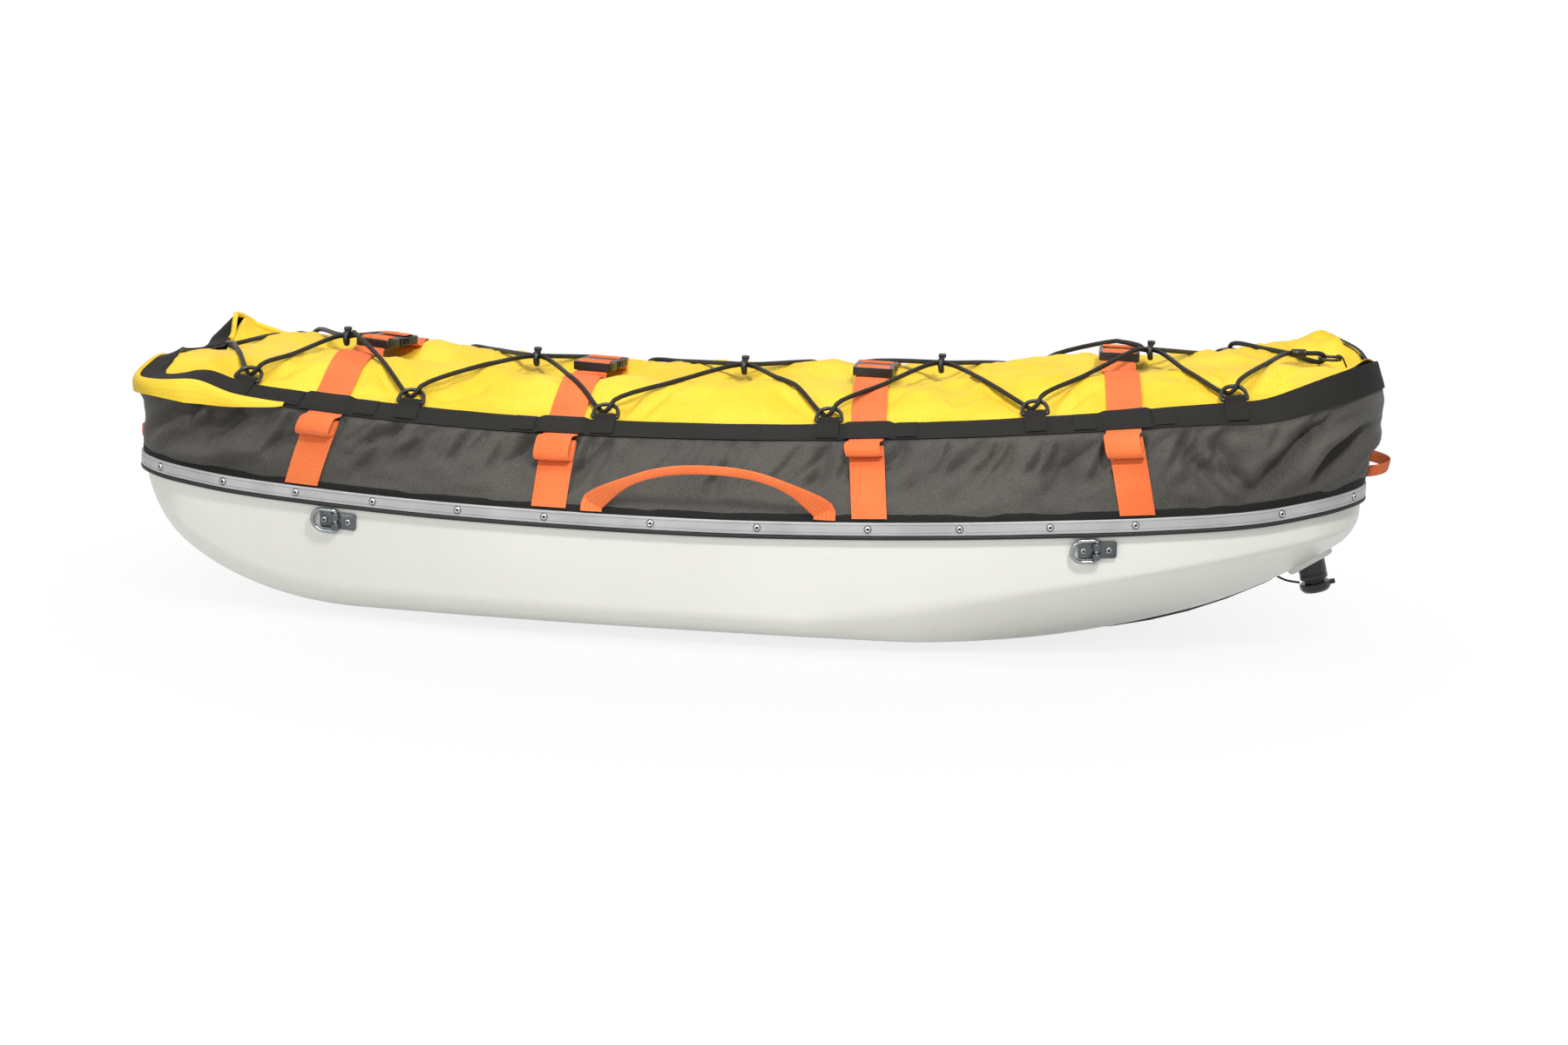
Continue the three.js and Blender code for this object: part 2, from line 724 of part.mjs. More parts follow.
// Band along the top of the skirt, lifted over each strap as a keeper, with its tabs and D-rings
function band(side) {
  const places = bandPlaces(side);
  const layer = (lifts) => places.map(({ x, lift, row }) => [1, 2].map((share) => (
    row === null ? wallPlace(x, share, lifts[lift], side) : sided([[cachedRows(lifts[lift])[row][share + 4]]], side)[0][0])));
  const strip = sheet(layer([bandOuter, keeperOuter]), layer([bandInner, keeperInner]));
  const fittings = scaleTo(ringAlongShares, halfLength).flatMap((x) => {
    const frame = ringFrame(x, side);
    return [framed(tab(), frame), framed(dRing(frame), frame)];
  });
  return joined([strip, ...fittings]);
}

function bandPlaces(side) {
  const keepers = strapShares.map((row) => halfLength * (side < 0 ? row.nearBand : row.farBand));
  const near = strapWidth / 2 + tabThickness;
  const far = near + tabThickness * 3;
  const places = keepers.flatMap((x) => [
    { x: x - far, lift: 0, row: null }, { x: x - near, lift: 1, row: null },
    { x: x + near, lift: 1, row: null }, { x: x + far, lift: 0, row: null },
  ]);
  const rows = cachedRows(bandOuter);
  rows.forEach((row, k) => {
    const x = row[row.length - 1].x;
    if (keepers.every((place) => Math.abs(place - x) > far + tabThickness)) places.push({ x, lift: 0, row: k });
  });
  const order = (place) => (place.row === null ? place.x : rows[place.row][rows[place.row].length - 1].x);
  const ends = places.filter((place) => place.row !== null && (place.row <= cornerSteps || place.row >= rows.length - 1 - cornerSteps));
  const middle = places.filter((place) => !ends.includes(place)).sort((a, b) => order(a) - order(b));
  const stern = ends.filter((place) => place.row <= cornerSteps).sort((a, b) => a.row - b.row);
  const bow = ends.filter((place) => place.row > cornerSteps).sort((a, b) => a.row - b.row);
  return [...stern, ...middle, ...bow];
}

// A frame at the band's top edge: x along it (forward on the near side), y up the cover, z off the fabric
function ringFrame(x, side) {
  const top = wallPlace(x, 2, skirtOuter, side);
  const foot = wallPlace(x, 1, skirtOuter, side);
  const step = chineRound;
  const forward = wallPlace(x + step, 2, skirtOuter, side).sub(wallPlace(x - step, 2, skirtOuter, side)).normalize();
  const up = top.clone().sub(foot);
  up.sub(forward.clone().multiplyScalar(up.dot(forward))).normalize();
  if (side > 0) forward.negate();
  return new THREE.Matrix4().makeBasis(forward, up, forward.clone().cross(up)).setPosition(top);
}

const tabLift = bandOuter - skirtOuter;

function tab() {
  const thick = tabThickness + fitGap;
  return block(tabWidth, tabLength, thick, 0, handleThickness * 4 - tabLength / 2, tabLift - fitGap + thick / 2);
}

// The ring leans up off the cover far enough for the cord to pass under it
function dRing(frame) {
  const radius = ringWire / 2;
  const half = ringWidth / 2 - radius;
  const lift = tabLift + tabThickness / 2;
  const reach = ringReach - radius - ringWire;
  const tip = ringTipLift(frame);
  const places = [];
  const arcSteps = 10;
  for (let k = 0; k <= arcSteps; k++) {
    const turn = (Math.PI * k) / arcSteps;
    const rise = Math.sin(turn) ** 0.8;
    places.push(vec(half * Math.cos(turn), ringWire + reach * rise, lerp(lift, tip, rise)));
  }
  return tube(places, radius, 6, true);
}

function ringTipLift(frame) {
  const clear = (cordDiameter + ringWire / 2 + workingGap * 2.5) * slopeAllowance;
  let lift = clear;
  for (let pass = 0; pass < 6; pass++) lift += clear - heightOverCover(frame, lift);
  return lift;
}

function heightOverCover(frame, lift) {
  const tip = vec(0, ringReach - ringWire / 2, lift).applyMatrix4(frame);
  return tip.z - coverPlace(tip.x, tip.y, 0).z;
}

// Cover

const coverColumns = [...coverColumnShares.map((share) => -share), ...coverColumnShares.slice(0, -1).reverse()];
const coverRowRange = [1, rimPlan.length - 2];

function coverEdge(k) {
  const row = cachedRows(-fitGap)[k];
  return row[row.length - 1];
}

function crown(x) {
  const first = coverEdge(coverRowRange[0]).x;
  const last = coverEdge(coverRowRange[1]).x;
  const fall = ease(clamp(Math.min(x - first, last - x) / coverEndFall, 0, 1));
  return fall * coverCrown * along(crownShares, x);
}

function coverLine(k, lift) {
  const edge = coverEdge(k);
  const rise = crown(edge.x);
  const deep = coverTrough * (rise / coverCrown);
  const line = coverColumns.map((share) => {
    const y = share * -edge.y;
    const full = 1 - Math.abs(share) ** coverFullnessPower;
    return [y, edge.z + rise * full - deep * Math.exp(-((y / coverTroughWidth) ** 2))];
  });
  return offsetLine(line, -lift).map(([y, z]) => vec(edge.x, y, z));
}

function coverRows(lift) {
  const rows = [];
  for (let k = coverRowRange[0]; k <= coverRowRange[1]; k++) rows.push(coverLine(k, lift));
  return rows;
}

function cover() {
  return sheet(coverRows(0), coverRows(-coverThickness));
}

const coverCache = new Map();

// A place on the cover: x, y and a lift off its face, read from its facets
function coverPlace(x, y, lift) {
  if (!coverCache.has(lift)) coverCache.set(lift, coverRows(lift));
  const rows = coverCache.get(lift);
  let k = 0;
  while (k < rows.length - 2 && rows[k + 1][0].x < x) k++;
  const t = clamp((x - rows[k][0].x) / (rows[k + 1][0].x - rows[k][0].x), 0, 1);
  let j = 0;
  while (j < rows[k].length - 2 && lerp(rows[k][j + 1].y, rows[k + 1][j + 1].y, t) < y) j++;
  const [a, b, c, d] = [rows[k][j], rows[k + 1][j], rows[k + 1][j + 1], rows[k][j + 1]];
  const beside = (c.x - a.x) * (y - a.y) - (c.y - a.y) * (x - a.x);
  const corner = beside < 0 ? b : d;
  const normal = corner.clone().sub(a).cross(c.clone().sub(a));
  return vec(x, y, a.z - (normal.x * (x - a.x) + normal.y * (y - a.y)) / normal.z);
}

// Cuff of cover cloth turned out over the band at the near corner of the stern
function sternFlap() {
  const rows = [];
  const inner = [];
  const lift = bandOuter + tabThickness + fitGap * 1.5;
  const outerRows = cachedRows(lift + flapThickness);
  const innerRows = cachedRows(lift);
  for (let k = 0; k < rimPlan.length; k++) {
    const top = innerRows[k][innerRows[k].length - 1];
    if (top.x > flapEnd) break;
    const left = clamp((flapEnd - top.x) / (flapEnd + halfLength), 0, 1);
    const share = 2 - (flapDepth / bandWidth) * ease(Math.min(1, left * 2));
    const pick = (row) => [share, 2].map((value) => row[5].clone().lerp(row[6], value - 1));
    rows.push(pick(outerRows[k]));
    inner.push(pick(innerRows[k]));
  }
  return sheet(rows, inner);
}

// Load straps

function strapFrame(index) {
  const x = halfLength * strapShares[index].centre;
  const y = buckleAside[index];
  const turn = degToRad(buckleTurnAngles[index]);
  const frame = new THREE.Matrix4().makeRotationZ(turn).setPosition(x, y, 0);
  const reach = buckleLength / 2 + strapThickness * 2;
  const heights = [-0.5, 0, 0.5].flatMap((a) => [-1, -0.6, 0, 0.6, 1].map((b) => {
    const spot = vec(a * buckleWidth, b * reach, 0).applyMatrix4(frame);
    return coverPlace(spot.x, spot.y, 0).z;
  }));
  return frame.setPosition(x, y, Math.max(...heights) + strapThickness + workingGap * 2);
}

// One half of a strap, from the gunwale up the skirt, folded once, through its keeper, over the cover
// and round the bar of its buckle half
function strap(index, side) {
  const row = strapShares[index];
  const [rail, keeper] = side < 0 ? [row.nearRail, row.nearBand] : [row.farRail, row.farBand];
  const [railX, keeperX] = [rail * halfLength, keeper * halfLength];
  const half = strapThickness / 2;
  const rest = strapOnSkirt + half;
  const [fold, outer] = [rest + strapFoldReach * 0.45, rest + strapFoldReach];
  const lefts = [];
  const rights = [];
  const wall = [
    [0.08, rest], [0.25, rest], [0.5, rest], [0.75, rest], [0.82, rest],
    [0.86, (rest + fold) / 2], [0.82, fold], [0.68, fold],
    [0.63, (fold + outer) / 2], [0.68, outer], [0.84, outer], [0.93, (rest + outer) / 2], [0.98, rest],
    [1.25, rest], [1.5, rest], [2, rest],
  ];
  for (const [share, lift] of wall) {
    const x = lerp(railX, keeperX, clamp(share, 0, 1));
    lefts.push(wallPlace(x - strapWidth / 2, share, lift, side));
    rights.push(wallPlace(x + strapWidth / 2, share, lift, side));
  }
  const frame = strapFrame(index);
  const reach = buckleLength / 2;
  const end = vec(0, side * (reach + strapThickness * 3), 0).applyMatrix4(frame);
  const edge = Math.abs(wallPlace(keeperX, 2, skirtInner, side).y);
  for (const share of strapRunShares) {
    const y = side * share * edge;
    if (side * (y - end.y) < 0) break;
    const x = lerp(keeperX, end.x, (edge - side * y) / (edge - side * end.y));
    const [a, middle, b] = [-0.5, 0, 0.5].map((at) => coverPlace(x + at * strapWidth, y, half + strapGap));
    const sag = Math.max(0, middle.z - (a.z + b.z) / 2);
    lefts.push(a.add(vec(0, 0, sag)));
    rights.push(b.add(vec(0, 0, sag)));
  }
  const low = -workingGap - half;
  const high = buckleThickness + workingGap + half;
  const slotMiddle = reach - buckleBar - buckleSlot / 2;
  for (const [y, z] of [
    [reach, low], [slotMiddle, low], [slotMiddle, high], [reach + strapTail * 0.3, high],
    [reach + strapTail * 0.5, high - buckleThickness / 2], [reach + strapTail * 0.6, low + buckleThickness / 2],
  ]) {
    lefts.push(vec(-strapWidth / 2, side * y, z).applyMatrix4(frame));
    rights.push(vec(strapWidth / 2, side * y, z).applyMatrix4(frame));
  }
  return ribbonBetween(lefts, rights, strapThickness);
}

// How high the straps and buckles reach at a place over the cover, each widened by a margin
function strapTop(x, y, margin) {
  const ground = coverPlace(x, y, 0).z;
  return Math.max(ground, ...strapShares.map((row, index) => {
    const frame = strapFrame(index);
    const at = vec(x, y, 0).applyMatrix4(frame.clone().invert());
    const base = frame.elements[14];
    const reach = buckleLength / 2 + margin;
    if (Math.abs(at.x) < buckleWidth / 2 + margin && Math.abs(at.y) < reach + strapTail) {
      return base + buckleThickness + workingGap + strapThickness;
    }
    const side = Math.sign(y) || 1;
    const end = vec(0, side * reach, 0).applyMatrix4(frame);
    const keeperX = halfLength * (side < 0 ? row.nearBand : row.farBand);
    const edge = Math.abs(wallPlace(keeperX, 2, skirtInner, side).y);
    const middle = lerp(keeperX, end.x, clamp((edge - side * y) / (edge - side * end.y), 0, 1));
    if (Math.abs(x - middle) > strapWidth / 2 + margin) return ground;
    const rising = Math.abs(at.y) < reach + strapTail * 3 ? base : ground;
    return Math.max(ground, rising) + strapThickness + workingGap * 2;
  }));
}

// Buckle halves lie in their own frame: x across, y along the strap, z up from the base

function plate(width, length, thickness, corner) {
  const [w, l] = [width / 2, length / 2];
  const shape = new THREE.Shape();
  shape.moveTo(-w + corner, -l);
  shape.lineTo(w - corner, -l);
  shape.quadraticCurveTo(w, -l, w, -l + corner);
  shape.lineTo(w, l - corner);
  shape.quadraticCurveTo(w, l, w - corner, l);
  shape.lineTo(-w + corner, l);
  shape.quadraticCurveTo(-w, l, -w, l - corner);
  shape.lineTo(-w, -l + corner);
  shape.quadraticCurveTo(-w, -l, -w + corner, -l);
  return stripped(new THREE.ExtrudeGeometry(shape, { depth: thickness, bevelEnabled: false, curveSegments: 2 }));
}

function slotCut(y) {
  return block(strapWidth + workingGap * 2, buckleSlot, buckleThickness * 3, 0, y, buckleThickness / 2);
}

const prongX = buckleWidth / 2 - buckleWall - prongWidth / 2 - workingGap;

function buckleSocket() {
  const back = buckleLength / 2;
  const front = back - socketLength;
  const middle = (back + front) / 2;
  const body = plate(buckleWidth, socketLength, buckleThickness, buckleCorner).translate(0, middle, 0);
  const chamber = back - buckleBar - buckleSlot - buckleWall;
  const deep = chamber - front;
  const inside = block(buckleWidth - buckleWall * 2, deep + cutOverrun, prongThickness + workingGap * 2,
    0, front + deep / 2 - cutOverrun / 2, buckleThickness / 2);
  const windowLength = prongLength * 0.5;
  const windows = block(buckleWidth + cutOverrun, windowLength, prongThickness + workingGap * 2,
    0, prongRootY + prongLength * 0.68, buckleThickness / 2);
  return cut(body, [slotCut(back - buckleBar - buckleSlot / 2), inside, windows]);
}

function bucklePlug() {
  const back = -buckleLength / 2;
  const front = buckleLength / 2 - socketLength - workingGap;
  const length = front - back;
  const body = plate(buckleWidth, length, buckleThickness, buckleCorner).translate(0, (front + back) / 2, 0);
  const reach = socketLength - buckleBar - buckleSlot - buckleWall * 2;
  const tongue = block(tongueWidth, reach + buckleCorner, prongThickness,
    0, front + reach / 2 - buckleCorner / 2, buckleThickness / 2);
  const pockets = [-1, 1].map((turn) => block(prongWidth + workingGap * 2, prongWidth + cutOverrun,
    prongThickness + workingGap * 2, turn * prongX, front + cutOverrun / 2 - prongWidth / 2, buckleThickness / 2));
  return cut(joined([body, tongue]), [slotCut(back + buckleBar + buckleSlot / 2), ...pockets]);
}

// A spring prong with a hooked head, drawn about its root
function prong(turn) {
  const shape = new THREE.Shape();
  const half = prongWidth / 2 - workingGap / 2;
  const out = turn * half;
  shape.moveTo(-out, 0);
  shape.lineTo(out, 0);
  shape.lineTo(out * 0.6, prongLength * 0.55);
  shape.lineTo(out + turn * prongHook, prongLength * 0.6);
  shape.lineTo(out + turn * prongHook, prongLength * 0.75);
  shape.lineTo(out * 0.4, prongLength);
  shape.lineTo(-out * 0.6, prongLength);
  shape.lineTo(-out * 0.6, prongLength * 0.5);
  const geometry = new THREE.ExtrudeGeometry(shape, { depth: prongThickness, bevelEnabled: false });
  return stripped(geometry).translate(0, 0, -prongThickness / 2);
}

const prongRootY = buckleLength / 2 - socketLength - prongWidth + workingGap;

// Cord and its fittings

function linkPlaces() {
  return scaleTo(linkAlongShares, halfLength).map((x, k) => {
    const place = coverPlace(x, 0, 0);
    place.z += linkLifts[k];
    return place;
  });
}

function cordLink() {
  const boreHeight = cordDiameter + linkGap * 2;
  const outline = roundedShape(linkWidth, linkHeight, linkWidth / 2 - fitGap);
  const bore = roundedShape(cordDiameter * 2 + linkGap * 4, boreHeight, boreHeight / 2 - fitGap);
  outline.holes.push(bore);
  const link = new THREE.ExtrudeGeometry(outline, { depth: linkLength, bevelEnabled: false, curveSegments: 3 });
  link.translate(0, 0, -linkLength / 2);
  return mergeVertices(stripped(link)).rotateX(quarterTurn).rotateZ(quarterTurn);
}

function roundedShape(width, height, corner) {
  const [w, h] = [width / 2, height / 2];
  const shape = new THREE.Shape();
  shape.absarc(w - corner, h - corner, corner, 0, quarterTurn);
  shape.absarc(-w + corner, h - corner, corner, quarterTurn, 2 * quarterTurn);
  shape.absarc(-w + corner, -h + corner, corner, 2 * quarterTurn, 3 * quarterTurn);
  shape.absarc(w - corner, -h + corner, corner, 3 * quarterTurn, 4 * quarterTurn);
  return shape;
}

// Places of the cord at a D-ring, from the bow to the stern: over the ring's arc, down inside, out under it
function cordAtRing(x, side, forward) {
  const frame = ringFrame(x, side);
  const r = cordDiameter / 2;
  const tip = ringTipLift(frame);
  const top = ringReach - ringWire / 2;
  const over = heightOverCover(frame, tip) + (ringWire / 2 + r + workingGap) * slopeAllowance;
  const under = (r + workingGap) * slopeAllowance;
  const places = [
    [r * 3.2, top + r * 4.2, over * 0.85], [r * 1.8, top + r * 0.8, over], [r * 1.4, top - r * 1.8, over],
    [r * 0.2, top - r * 2.7, (over + under) / 2], [-r, top - r * 1.8, under],
    [-r * 1.4, top + r * 0.8, under], [-r * 2.8, top + r * 4.2, under],
  ].map(([ahead, up, lift]) => {
    const place = vec(-side * ahead, up, tip).applyMatrix4(frame);
    place.z = coverPlace(place.x, place.y, 0).z + lift;
    return place;
  });
  return forward ? places.reverse() : places;
}

function cordAtLink(place, side, forward) {
  const r = cordDiameter / 2;
  const y = side * (r + linkGap);
  const reach = linkLength / 2 + workingGap * 3;
  const places = [vec(reach, y, 0), vec(-reach, y, 0)].map((at) => at.add(place));
  return forward ? places.reverse() : places;
}

// The taut run of cord between two places: straight wherever nothing under it holds it up
function cordLeg(from, to) {
  const steps = 16;
  const r = cordDiameter / 2;
  const samples = [from];
  for (let k = 1; k < steps; k++) {
    const place = from.clone().lerp(to, k / steps);
    const z = strapTop(place.x, place.y, r + workingGap) + r + workingGap * 3;
    samples.push(vec(place.x, place.y, z));
  }
  samples.push(to);
  const run = (place) => Math.hypot(place.x - from.x, place.y - from.y);
  const taut = [];
  for (const place of samples) {
    while (taut.length > 1) {
      const [a, b] = taut.slice(-2);
      const line = lerp(a.z, place.z, (run(b) - run(a)) / (run(place) - run(a)));
      if (b.z > line) break;
      taut.pop();
    }
    taut.push(place);
  }
  return taut.slice(1, -1);
}

function laced(side, forward) {
  const rings = scaleTo(ringAlongShares, halfLength).map((x) => cordAtRing(x, side, forward));
  const links = linkPlaces().map((place) => cordAtLink(place, side, forward));
  const stops = rings.flatMap((ring, k) => (k < links.length ? [ring, links[k]] : [ring]));
  const ordered = forward ? stops : stops.reverse();
  return ordered.flatMap((stop, k) => {
    if (k === 0) return stop;
    const before = ordered[k - 1];
    return [...cordLeg(before[before.length - 1], stop[0]), ...stop];
  });
}

// Heights of webbing laid from a stern or bow edge towards the middle, one per share of its length
function laidPlaces(edge, length, lift) {
  return laidShares.map((share) => {
    const x = edge.x + length * share;
    const rise = Math.max(...[-1, 0, 1].map((at) => coverPlace(x, (at * endTabWidth) / 2, 0).z));
    return vec(x, 0, rise + lift);
  });
}

function sternHookFrame() {
  const places = laidPlaces(coverEdge(coverRowRange[0]), hookReach, workingGap + hookPlate);
  return vec(places[places.length - 1].x, 0, Math.max(...places.map((place) => place.z)));
}

function bowRingFrame() {
  const edge = coverEdge(coverRowRange[1]);
  const lift = cordDiameter + bowRingWire / 2 + workingGap * 4;
  const places = laidPlaces(edge, -hookReach, lift);
  const highest = Math.max(...places.slice(2).map((place) => place.z));
  return vec(edge.x - hookReach, 0, highest);
}

function cordRoute() {
  const r = cordDiameter / 2;
  const hook = sternHookFrame();
  const ring = bowRingFrame();
  const near = laced(-1, false);
  const far = laced(1, true);
  const hookX = hook.x - fitGap;
  const hookZ = hook.z + hookMouth / 2;
  const aroundHook = [
    vec(hookX + r * 3, -hookWidth * 1.3, hookZ + r * 0.6), vec(hookX, -hookWidth / 2, hookZ),
    vec(hookX, hookWidth / 2, hookZ), vec(hookX + r * 3, hookWidth * 1.3, hookZ + r * 0.6),
  ];
  const reach = bowRingWire / 2 + r + workingGap * 2;
  const turns = [1, 0.5, 0, -0.5, -1].map((share) => share * quarterTurn);
  const bend = turns.map((turn) => (
    vec(ring.x + reach * Math.cos(turn), -2 * r * Math.sin(turn), ring.z + reach * Math.sin(turn))));
  const toRing = [
    vec(ring.x - ferruleLength * 2, -ferruleDiameter * 1.4, ring.z + reach),
    vec(ring.x - ferruleLength * 0.8, -ferruleDiameter * 0.8, ring.z + reach),
    ...bend,
    vec(ring.x - ferruleLength, ferruleDiameter, ring.z - reach + r),
  ];
  return { near, far, aroundHook, toRing };
}

function shockCord() {
  const { near, far, aroundHook, toRing } = cordRoute();
  const legs = [
    ...near, ...cordLeg(near[near.length - 1], aroundHook[0]), ...aroundHook,
    ...cordLeg(aroundHook[3], far[0]), ...far, ...cordLeg(far[far.length - 1], toRing[toRing.length - 1]),
    ...[...toRing].reverse(), ...cordLeg(toRing[0], near[0]),
  ];
  const at = toRing[0].clone().lerp(toRing[1], 0.5);
  const aim = toRing[1].clone().sub(toRing[0]).normalize();
  const turn = new THREE.Quaternion().setFromUnitVectors(vec(0, 0, 1), aim);
  const radius = ferruleDiameter / 2;
  const [half, round] = [ferruleLength / 2, ferruleDiameter / 10];
  const sleeve = turned([
    [0, -half], [radius - round, -half], [radius, -half + round], [radius, half - round], [radius - round, half], [0, half],
  ], 10);
  sleeve.applyMatrix4(new THREE.Matrix4().makeRotationFromQuaternion(turn).setPosition(at));
  return joined([tube(legs, cordDiameter / 2, cordSides, true), sleeve]);
}

function sternHook() {
  const frame = sternHookFrame();
  const outer = hookMouth / 2 + hookPlate;
  const webbing = laidPlaces(coverEdge(coverRowRange[0]), hookReach, workingGap + hookPlate).slice(0, -1)
    .map((place) => place.sub(frame));
  const shape = new THREE.Shape();
  shape.moveTo(webbing[0].x, webbing[0].z - hookPlate);
  for (const place of webbing.slice(1)) shape.lineTo(place.x, place.z - hookPlate);
  shape.lineTo(0, -hookPlate);
  shape.absarc(0, hookMouth / 2, outer, -quarterTurn, quarterTurn, false);
  shape.lineTo(-hookMouth, hookMouth + hookPlate);
  shape.lineTo(-hookMouth, hookMouth);
  shape.lineTo(0, hookMouth);
  shape.absarc(0, hookMouth / 2, hookMouth / 2, quarterTurn, -quarterTurn, true);
  for (const place of webbing.reverse()) shape.lineTo(place.x, place.z);
  const hook = new THREE.ExtrudeGeometry(shape, { depth: hookWidth, bevelEnabled: false, curveSegments: 8 });
  return stripped(hook).translate(0, 0, -hookWidth / 2).rotateX(quarterTurn).translate(...frame.toArray());
}

function bowRing() {
  const frame = bowRingFrame();
  const wire = bowRingWire / 2;
  const half = bowRingWidth / 2;
  const back = bowRingLength - wire;
  const corner = wire * 1.4;
  const loop = [
    vec(0, -half + corner, 0), vec(corner, -half, 0), vec(back - corner, -half, 0), vec(back, -half + corner, 0),
    vec(back, half - corner, 0), vec(back - corner, half, 0), vec(corner, half, 0), vec(0, half - corner, 0),
  ].map((place) => place.add(frame));
  const ring = tube(loop, wire, 6, true);
  const start = vec(frame.x + back, 0, frame.z);
  const lift = endTabThickness / 2 + strapGap;
  const laid = laidPlaces(coverEdge(coverRowRange[1]), -hookReach, lift)
    .filter((place) => place.x > start.x + endTabWidth / 4).reverse();
  const path = [start, ...laid];
  const strip = ribbon(path, path.map(() => endTabWidth), path.map(() => vec(0, 1, 0)), endTabThickness);
  return joined([ring, strip]);
}

// Lashing rings on the hull's sides: x along the hull (forward on the near side), y up, z outwards

function lashingFrame(share, side) {
  const x = share * halfLength;
  const step = chineRound;
  const onSide = (at, drop) => {
    const z = sheer(at) - drop;
    return vec(at, side * hullSideAt(at, z), z);
  };
  const forward = onSide(x + step, lashingDrop).sub(onSide(x - step, lashingDrop)).normalize();
  const up = onSide(x, lashingDrop - step).sub(onSide(x, lashingDrop + step));
  up.sub(forward.clone().multiplyScalar(up.dot(forward))).normalize();
  if (side > 0) forward.negate();
  const out = forward.clone().cross(up);
  const base = onSide(x, lashingDrop);
  const reach = Math.max(...[-1, 0, 1].flatMap((a) => [-1, 0, 1].map((b) => {
    const at = base.clone().addScaledVector(forward, (a * plateLength) / 2).addScaledVector(up, (b * plateHeight) / 2);
    return onSide(at.x, sheer(at.x) - at.z).sub(base).dot(out);
  })));
  return new THREE.Matrix4().makeBasis(forward, up, out).setPosition(base.addScaledVector(out, reach + workingGap));
}

function hullSideAt(x, z) {
  const line = hullSection(x);
  const k = Math.max(1, line.findIndex(([, height]) => height > z));
  const t = (z - line[k - 1][1]) / (line[k][1] - line[k - 1][1]);
  return lerp(line[k - 1][0], line[k][0], t);
}

function lashingPlate(side) {
  const base = block(plateLength, plateHeight, plateThickness, -side * plateOffset, 0, plateThickness / 2);
  const knuckle = new THREE.CylinderGeometry(knuckleRadius, knuckleRadius, plateHeight, 12)
    .translate(0, 0, knuckleRadius);
  const bore = new THREE.CylinderGeometry(boreRadius, boreRadius, plateHeight + cutOverrun, 12)
    .translate(0, 0, knuckleRadius);
  const parting = block(knuckleRadius * 3, knuckleGap, knuckleRadius * 2, 0, 0, plateThickness + knuckleRadius);
  const screws = [-1, 1].map((end) => dome(screwRadius, screwHeight).translate(end * screwReach, 0, plateThickness));
  return cut(joined([base, stripped(knuckle), ...screws]), [bore, parting]);
}

const boreRadius = lashRingWire / 2 + workingGap;

// The ring about its hinge axis, lying towards the stern
function lashingRing(side) {
  const radius = lashRingWire / 2;
  const half = lashRingWidth / 2 - radius;
  const reach = lashRingReach - radius;
  const straight = reach - half;
  const places = [vec(0, -half, 0), vec(0, 0, 0), vec(0, half, 0)];
  const arcSteps = 6;
  for (let k = 0; k <= arcSteps; k++) {
    const turn = (Math.PI * k) / arcSteps;
    places.push(vec(side * (straight + half * Math.sin(turn)), half * Math.cos(turn), 0));
  }
  return tube(places, radius, 8, true);
}

// Towing hitch

function hitchFrame() {
  const x = hitchShare * halfLength;
  const step = chineRound;
  const slope = Math.atan2(hullFloor(x + step) - hullFloor(x - step), 2 * step);
  return { x, slope, floor: keelUnder(x) };
}

function keelUnder(x) {
  const half = hitchPadLength / 2;
  const slope = (hullFloor(x + half) - hullFloor(x - half)) / (2 * half);
  const sag = [-1, -0.5, 0, 0.5, 1].map((t) => hullFloor(x + t * half) - (hullFloor(x) + slope * t * half));
  return hullFloor(x) + Math.min(...sag) - fitGap;
}

function padFrame() {
  const x = hitchShare * halfLength;
  const half = hitchPadLength / 2;
  const slope = Math.atan2(hullFloor(x + half) - hullFloor(x - half), 2 * half);
  return new THREE.Matrix4().makeRotationY(-slope).setPosition(x, 0, keelUnder(x));
}

// The pad is moulded with the hull, so its top lies inside the hull's wall
function hitchPad() {
  const pad = plate(hitchPadLength, hitchPadWidth, hitchPadThickness + hullWall * 0.6, hitchPadThickness);
  return framed(pad.translate(0, 0, -hitchPadThickness), padFrame());
}

function hitchAxis() {
  const place = vec(0, 0, -hitchPadThickness).applyMatrix4(padFrame());
  return new THREE.Matrix4().makeRotationY(-degToRad(hitchTiltAngle)).setPosition(place);
}

// Socket under the pad: its top is cut to the pad's slope, its neck carries the collar
function hitchSocket() {
  const body = turned([
    [0, -hitchDepth - hitchNeckDepth], [hitchNeck, -hitchDepth - hitchNeckDepth], [hitchNeck, -hitchDepth],
    [hitchRadius, -hitchDepth], [hitchRadius, cutOverrun * 2], [0, cutOverrun * 2],
  ], 20);
  const above = block(hitchPadLength * 2, hitchPadLength * 2, hitchPadLength, 0, 0, hitchPadLength / 2 - hitchPadThickness - fitGap);
  return cut(framed(body, hitchAxis()), [framed(above, padFrame())]);
}

function hitchCollar() {
  const top = -hitchDepth - hitchNeckDepth - fitGap;
  const ring = turned([
    [0, top - collarDepth], [collarRadius * 0.8, top - collarDepth],
    [collarRadius, top - collarDepth * 0.5], [collarRadius, top], [0, top],
  ], 20);
  const lug = block(collarLug * 1.4, collarLug, collarDepth * 0.5, collarRadius + collarLug * 0.2, 0, top - collarDepth * 0.25);
  return joined([ring, lug]);
}

